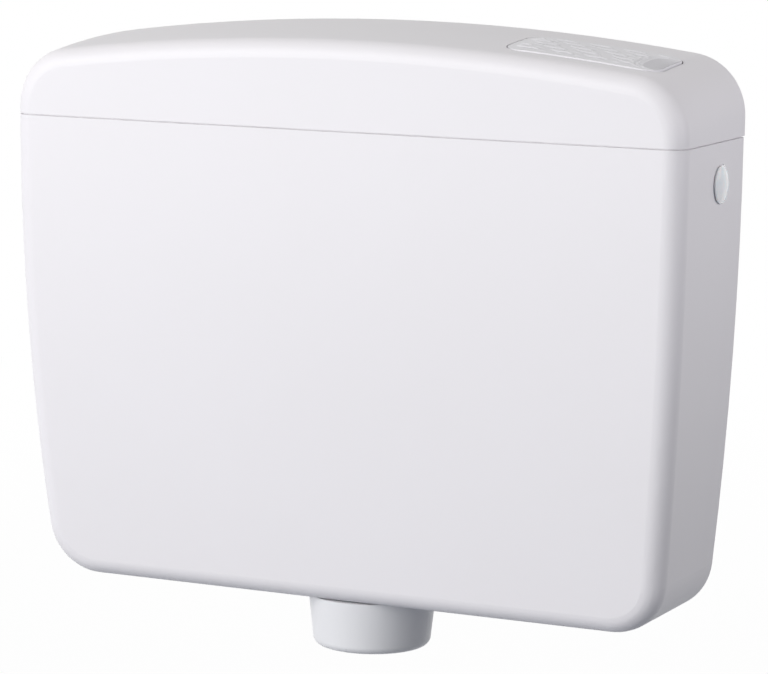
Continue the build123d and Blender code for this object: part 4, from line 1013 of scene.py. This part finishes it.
class CISTERN_OT_plug(bpy.types.Operator):
    """Turn the domed blanking plug of the right side, with its thread"""
    bl_idname = "cistern.plug"
    bl_label = "Blanking plug"

    def execute(self, context):
        low, high = corners_of("blanking_plug")
        centre = (low + high) / 2
        outline = plug_outline(low.x, high.x, (high.z - low.z) / 2)
        long = high.x - PLUG_HEAD - PLUG_NECK - 0.2 * MM - low.x
        thread = threaded(long, context.scene.cistern_sizes.inlet_pitch, INLET_CREST_R, INLET_ROOT_R,
                          INLET_ROOT_R - THREAD_WALL, "plug")
        placed(thread, (0, 0, low.x))
        plug = combined(tidy(turned(outline), TURNED_SHARP), thread)
        placed(coated(plug, "plug"), (0, centre.y, centre.z), "X")
        piece("side_plug", plug, "tank", ["blanking_plug"])
        return {"FINISHED"}


def thread_inlet(pitch):
    """Give the fill valve's body a thread round its shank."""
    shank = node_copy("fill_valve_body")
    low, _ = corners_of("fill_valve_body")
    start, stop = low.x + SHANK_LEAD, low.x + SHANK_THREAD
    axis = middle("inlet_lock_nut")
    # The CAD shank's wall is drawn in to the thread's root, and the thread goes round it
    for point in shank.vertices:
        out = math.hypot(point.co.y - axis.y, point.co.z - axis.z)
        if point.co.x < stop + 0.1 * MM and out > INLET_ROOT_R:
            scale = (INLET_ROOT_R - 0.05 * MM) / out
            point.co.y = axis.y + (point.co.y - axis.y) * scale
            point.co.z = axis.z + (point.co.z - axis.z) * scale
    thread = threaded(stop - start, pitch, INLET_CREST_R, INLET_ROOT_R, INLET_ROOT_R - THREAD_WALL, "acetal")
    placed(thread, (start, axis.y, axis.z), "X")
    valve = combined(tidy(shank, TURNED_SHARP), thread)
    piece("inlet_valve", coated(valve, "acetal"), "tank", ["fill_valve_body"])


def thread_rod(name, node, body, pitch):
    """Make a rod of the node's size, threaded from end to end."""
    low, high = corners_of(node)
    crest = (high.x - low.x) / 2
    stud = threaded(high.z - low.z, pitch, crest, crest - ROD_THREAD_DEEP, 0.0, "acetal")
    centre = (low + high) / 2
    placed(stud, (centre.x, centre.y, low.z))
    piece(name, coated(stud, "acetal"), body, [node])


def thread_foot(pitch):
    """Make the push rod's foot, a rounded pad on a threaded stem."""
    low, high = corners_of("push_rod_foot")
    centre = (low + high) / 2
    pad = (high.x - low.x) / 2
    stem = threaded(high.z - low.z - FOOT_SUNK, pitch, FOOT_STEM_R, FOOT_STEM_R - FOOT_THREAD_DEEP, 0.0,
                    "grey")
    placed(stem, (0, 0, FOOT_SUNK))
    sole = [(0, 0), (pad - 1.6 * MM, 0), (pad - 0.5 * MM, 0.35 * MM), (pad, 1.0 * MM), (pad, 2.3 * MM),
            (pad - 0.25 * MM, 2.75 * MM), (pad - 0.8 * MM, FOOT_PAD),
            (FOOT_STEM_R + 0.8 * MM, FOOT_PAD), (0, FOOT_PAD)]
    foot = combined(tidy(turned(sole), TURNED_SHARP), stem)
    placed(coated(foot, "grey"), (centre.x, centre.y, low.z))
    piece("rod_foot", foot, "rod", ["push_rod_foot"])


class CISTERN_OT_threads(bpy.types.Operator):
    """Cut the threads of the inlet shank and of the three rods"""
    bl_idname = "cistern.threads"
    bl_label = "Threads"

    def execute(self, context):
        sizes = context.scene.cistern_sizes
        thread_inlet(sizes.inlet_pitch)
        thread_rod("lift_stud", "lift_rod", "flush_valve", sizes.rod_pitch)
        thread_rod("float_stud", "float_rod", "float_arm", sizes.rod_pitch)
        thread_foot(sizes.foot_pitch)
        return {"FINISHED"}


class CISTERN_OT_nuts(bpy.types.Operator):
    """Chamfer the hexagon nuts of rods, inlet and plug"""
    bl_idname = "cistern.nuts"
    bl_label = "Hexagon nuts"

    def execute(self, context):
        for name, node, finish_name, slot in (("inlet_nut", "inlet_lock_nut", "grey", "valve_grey"),
                                              ("plug_nut", "blanking_plug_nut", "acetal", "valve_white")):
            low, high = corners_of(node)
            mesh = hex_nut(high.y - low.y, INLET_CREST_R + NUT_PLAY, high.x - low.x)
            mesh = fasteners(name, mesh, [(0, 0, 0)], finish_name)
            centre = middle(node)
            placed(mesh, (low.x, centre.y, centre.z), "X")
            piece(name, mesh, "tank", [node])

        low, high = corners_of("lift_rod_nuts")
        thick = (high.z - low.z) / 2
        spots = [(0, 0, low.z), (0, 0, low.z + thick)]
        self.add_nuts("spider_nuts", "lift_rod_nuts", "flush_valve", thick, LIFT_ROD_R, spots)

        low, high = corners_of("float_rod_nuts")
        cup_low, cup_high = corners_of("float_cup")
        thick = cup_low.z - low.z
        levels = [high.z - thick, high.z - thick * 2 - EYE_TALL, cup_high.z, low.z]
        spots = [(0, 0, level) for level in levels]
        self.add_nuts("float_nuts", "float_rod_nuts", "float_arm", thick, FLOAT_ROD_R, spots)

        low, high = corners_of("push_rod_lock_nut")
        self.add_nuts("foot_nut", "push_rod_lock_nut", "rod", high.z - low.z, FOOT_STEM_R, [(0, 0, low.z)])
        return {"FINISHED"}

    def add_nuts(self, name, node, body, thick, rod_radius, spots):
        low, high = corners_of(node)
        flats = min(high.x - low.x, high.y - low.y)
        turned_round = high.x - low.x < high.y - low.y
        mesh = hex_nut(flats, rod_radius + NUT_PLAY, thick)
        if turned_round:
            mesh.transform(Matrix.Rotation(math.pi / 6, 4, "Z"))
        mesh = fasteners(name, mesh, spots, "grey")
        centre = (low + high) / 2
        placed(mesh, (centre.x, centre.y, 0))
        piece(name, mesh, body, [node])


class CISTERN_OT_screws(bpy.types.Operator):
    """Bridge screws with a domed head and a cross recess"""
    bl_idname = "cistern.screws"
    bl_label = "Bridge screws"

    def execute(self, context):
        low, high = corners_of("bridge_screws")
        head = (high.x - low.x) / 2
        tall = SCREW_HEAD
        shank = high.z - low.z - tall
        outline = [(0, -shank), (0.3 * MM, -shank), (SCREW_R, SCREW_POINT - shank), (SCREW_R, 0),
                   (head - 0.15 * MM, 0), (head, 0.2 * MM)]
        steps = 8
        for step in range(1, steps):
            turn = math.pi / 2 * step / steps
            rise = SCREW_RIM + (tall - SCREW_RIM) * math.sin(turn)
            outline.append((head * math.cos(turn) ** 0.6, rise))
        outline.append((0, tall))
        screw = recessed(tidy(turned(outline, 48)), tall)
        spots = [(middle("bridge_screws").x, y, high.z - tall) for y in (low.y + head, high.y - head)]
        piece("cross_screws", fasteners("cross_screws", screw, spots, "pin_steel"), "tank",
              ["bridge_screws"])
        return {"FINISHED"}


class CISTERN_OT_fittings(bpy.types.Operator):
    """Give the pipe nut and the inner pieces their finishes"""
    bl_idname = "cistern.fittings"
    bl_label = "Fittings"

    def execute(self, context):
        dress("pipe_nut", "flush_pipe_nut")
        dress("acetal", "flush_valve_cage", "flush_valve_seat", "overflow_tube", "valve_disc", "lift_spider",
              "push_rod", "silencer_tube", "valve_plunger", "lever_bridge", "float_lever")
        dress("grey", "fill_valve_cap", "rocker_lever", "outlet_lock_nut")
        dress("floats", "float_cup", "valve_float")
        dress("rubber", "outlet_gasket", "valve_washer", "plunger_washer", "inlet_washer",
              "blanking_plug_washer", "flush_pipe_seal")
        dress("pin_steel", "plate_hinge_pin", "rocker_pivot_pin", "float_lever_pin")
        return {"FINISHED"}


# Stage

def look_at(place, target, roll=0.0):
    """Placing matrix of a camera or lamp that stands at place and looks at target."""
    forward = (Vector(target) - Vector(place)).normalized()
    right = forward.cross(Vector((0, 0, 1))).normalized()
    up = right.cross(forward)
    side = math.cos(roll) * right + math.sin(roll) * up
    above = math.cos(roll) * up - math.sin(roll) * right
    turn = Matrix((side, above, -forward)).transposed().to_4x4()
    return Matrix.Translation(place) @ turn


def soft_lamp(name, centre, azimuth, elevation, distance, size, level, tone=(1, 1, 1)):
    """Square lamp whose light gives a facing white surface at centre this level, 1 being white."""
    side, height = math.radians(azimuth), math.radians(elevation)
    aim = Vector((math.sin(side) * math.cos(height), -math.cos(side) * math.cos(height), math.sin(height)))
    data = bpy.data.lights.new(name, "AREA")
    data.shape = "SQUARE"
    data.size = size
    data.energy = level * math.pi ** 2 * distance ** 2
    data.color = tone
    lamp = bpy.data.objects.new(name, data)
    lamp.matrix_world = look_at(centre + aim * distance, centre)
    bpy.context.scene.collection.objects.link(lamp)


def seen_rays(tree):
    """1 for camera, glossy and transmission rays, 0 for the rays that light the object."""
    path = put(tree, "ShaderNodeLightPath").outputs
    seen = Field(tree, path["Is Camera Ray"]).most(Field(tree, path["Is Glossy Ray"]))
    return seen.most(Field(tree, path["Is Transmission Ray"]))


def add_camera(scene, stage):
    data = bpy.data.cameras.new("Camera")
    data.lens = stage.focal_length
    data.clip_end = 100.0
    camera = bpy.data.objects.new("Camera", data)
    camera.matrix_world = look_at(stage.camera_place, stage.camera_target, stage.camera_roll)
    scene.collection.objects.link(camera)
    scene.camera = camera


def white_surround(stage):
    """World that is white where it is seen, and has its own light from horizon, zenith and back."""
    world = bpy.data.worlds.new("Surround")
    world.use_nodes = True
    tree = world.node_tree
    tree.nodes.clear()
    seen = seen_rays(tree)
    _, behind, height = parts_of(tree, put(tree, "ShaderNodeTexCoord").outputs["Generated"])
    light = height.clamped() * (stage.zenith - stage.ambient) + stage.ambient
    light = light + behind.clamped() * stage.back_light
    glow = put(tree, "ShaderNodeBackground", {"Color": (1.0, 1.0, 1.0, 1.0),
                                              "Strength": seen + (1 - seen) * light})
    put(tree, "ShaderNodeOutputWorld", {"Surface": glow.outputs[0]})
    return world


def add_lamps():
    """A wide key lamp in front on the left, and a small one beside the right side."""
    low, high = (Vector(corner) for corner in CAD_BOX)
    soft_lamp("Key lamp", (low + high) / 2, azimuth=-28, elevation=18, distance=3.5, size=3.0, level=1.01)
    beside = Vector((high.x, (low.y + high.y) / 2, SIDE_LAMP_Z))
    soft_lamp("Side lamp", beside, azimuth=90, elevation=13, distance=0.40, size=0.28, level=0.43,
              tone=(0.98, 0.96, 1.0))


def pale_floor(stage):
    """Floor that is nearly white where it is seen, wholly so farther out, and clear from below."""
    material, tree, surface, place, output = new_material("Pale floor")
    seen = seen_rays(tree)
    feed(tree, surface.inputs["Base Color"], blended(tree, seen, stage.bounce_tone, stage.floor_tone))
    surface.inputs["Roughness"].default_value = 0.8
    x, y, _ = parts_of(tree, place)
    far = (x * x + y * y).root().between(FLOOR_FADES, FLOOR_GONE)
    white = put(tree, "ShaderNodeEmission", {"Color": (1, 1, 1, 1), "Strength": 1.0})
    mixed = put(tree, "ShaderNodeMixShader", {0: seen * (FLOOR_VEIL + far * (1 - FLOOR_VEIL)),
                                              1: surface.outputs[0], 2: white.outputs[0]})
    under = put(tree, "ShaderNodeNewGeometry").outputs["Backfacing"]
    clear = put(tree, "ShaderNodeBsdfTransparent")
    sided = put(tree, "ShaderNodeMixShader", {0: under, 1: mixed.outputs[0], 2: clear.outputs[0]})
    tree.links.new(sided.outputs[0], output.inputs["Surface"])
    return material


def add_floor(scene, stage):
    half = FLOOR_HALF
    mesh = bpy.data.meshes.new("Floor")
    corners = [(-half, -half), (half, -half), (half, half), (-half, half)]
    mesh.from_pydata([(x, y, -stage.floor_drop) for x, y in corners], [], [(0, 1, 2, 3)])
    mesh.materials.append(pale_floor(stage))
    floor = bpy.data.objects.new("Floor", mesh)
    scene.collection.objects.link(floor)


class CISTERN_OT_stage(bpy.types.Operator):
    """Set up the camera, the lamps, the floor and the white surround"""
    bl_idname = "cistern.stage"
    bl_label = "Stage"

    def execute(self, context):
        scene = context.scene
        stage = scene.cistern_stage
        scene.view_settings.view_transform = "Standard"
        add_camera(scene, stage)
        scene.world = white_surround(stage)
        add_lamps()
        add_floor(scene, stage)
        return {"FINISHED"}


class CISTERN_PT_panel(bpy.types.Panel):
    """Cistern pieces and their settings"""
    bl_idname = "CISTERN_PT_panel"
    bl_label = "Cistern"
    bl_space_type = "VIEW_3D"
    bl_region_type = "UI"
    bl_category = "Cistern"

    def draw(self, context):
        scene = context.scene
        for group in (scene.cistern_colours, scene.cistern_sizes, scene.cistern_stage):
            for name in group.__annotations__:
                self.layout.prop(group, name)
        for operator in OPERATORS:
            self.layout.operator(operator.bl_idname)


SETTINGS = {"cistern_colours": CisternColours, "cistern_sizes": CisternSizes, "cistern_stage": CisternStage}
OPERATORS = (CISTERN_OT_stage, CISTERN_OT_casing, CISTERN_OT_plate, CISTERN_OT_spring, CISTERN_OT_plug,
             CISTERN_OT_threads, CISTERN_OT_nuts, CISTERN_OT_screws, CISTERN_OT_fittings)


def register():
    for cls in (*SETTINGS.values(), *OPERATORS, CISTERN_PT_panel):
        bpy.utils.register_class(cls)
    for name, group in SETTINGS.items():
        setattr(bpy.types.Scene, name, PointerProperty(type=group))


def unregister():
    for name in SETTINGS:
        delattr(bpy.types.Scene, name)
    for cls in reversed((*SETTINGS.values(), *OPERATORS, CISTERN_PT_panel)):
        bpy.utils.unregister_class(cls)


def main():
    register()
    bpy.ops.cistern.stage()
    bpy.ops.cistern.casing()
    bpy.ops.cistern.plate()
    bpy.ops.cistern.spring()
    bpy.ops.cistern.plug()
    bpy.ops.cistern.threads()
    bpy.ops.cistern.nuts()
    bpy.ops.cistern.screws()
    bpy.ops.cistern.fittings()


if __name__ == "__main__":
    main()
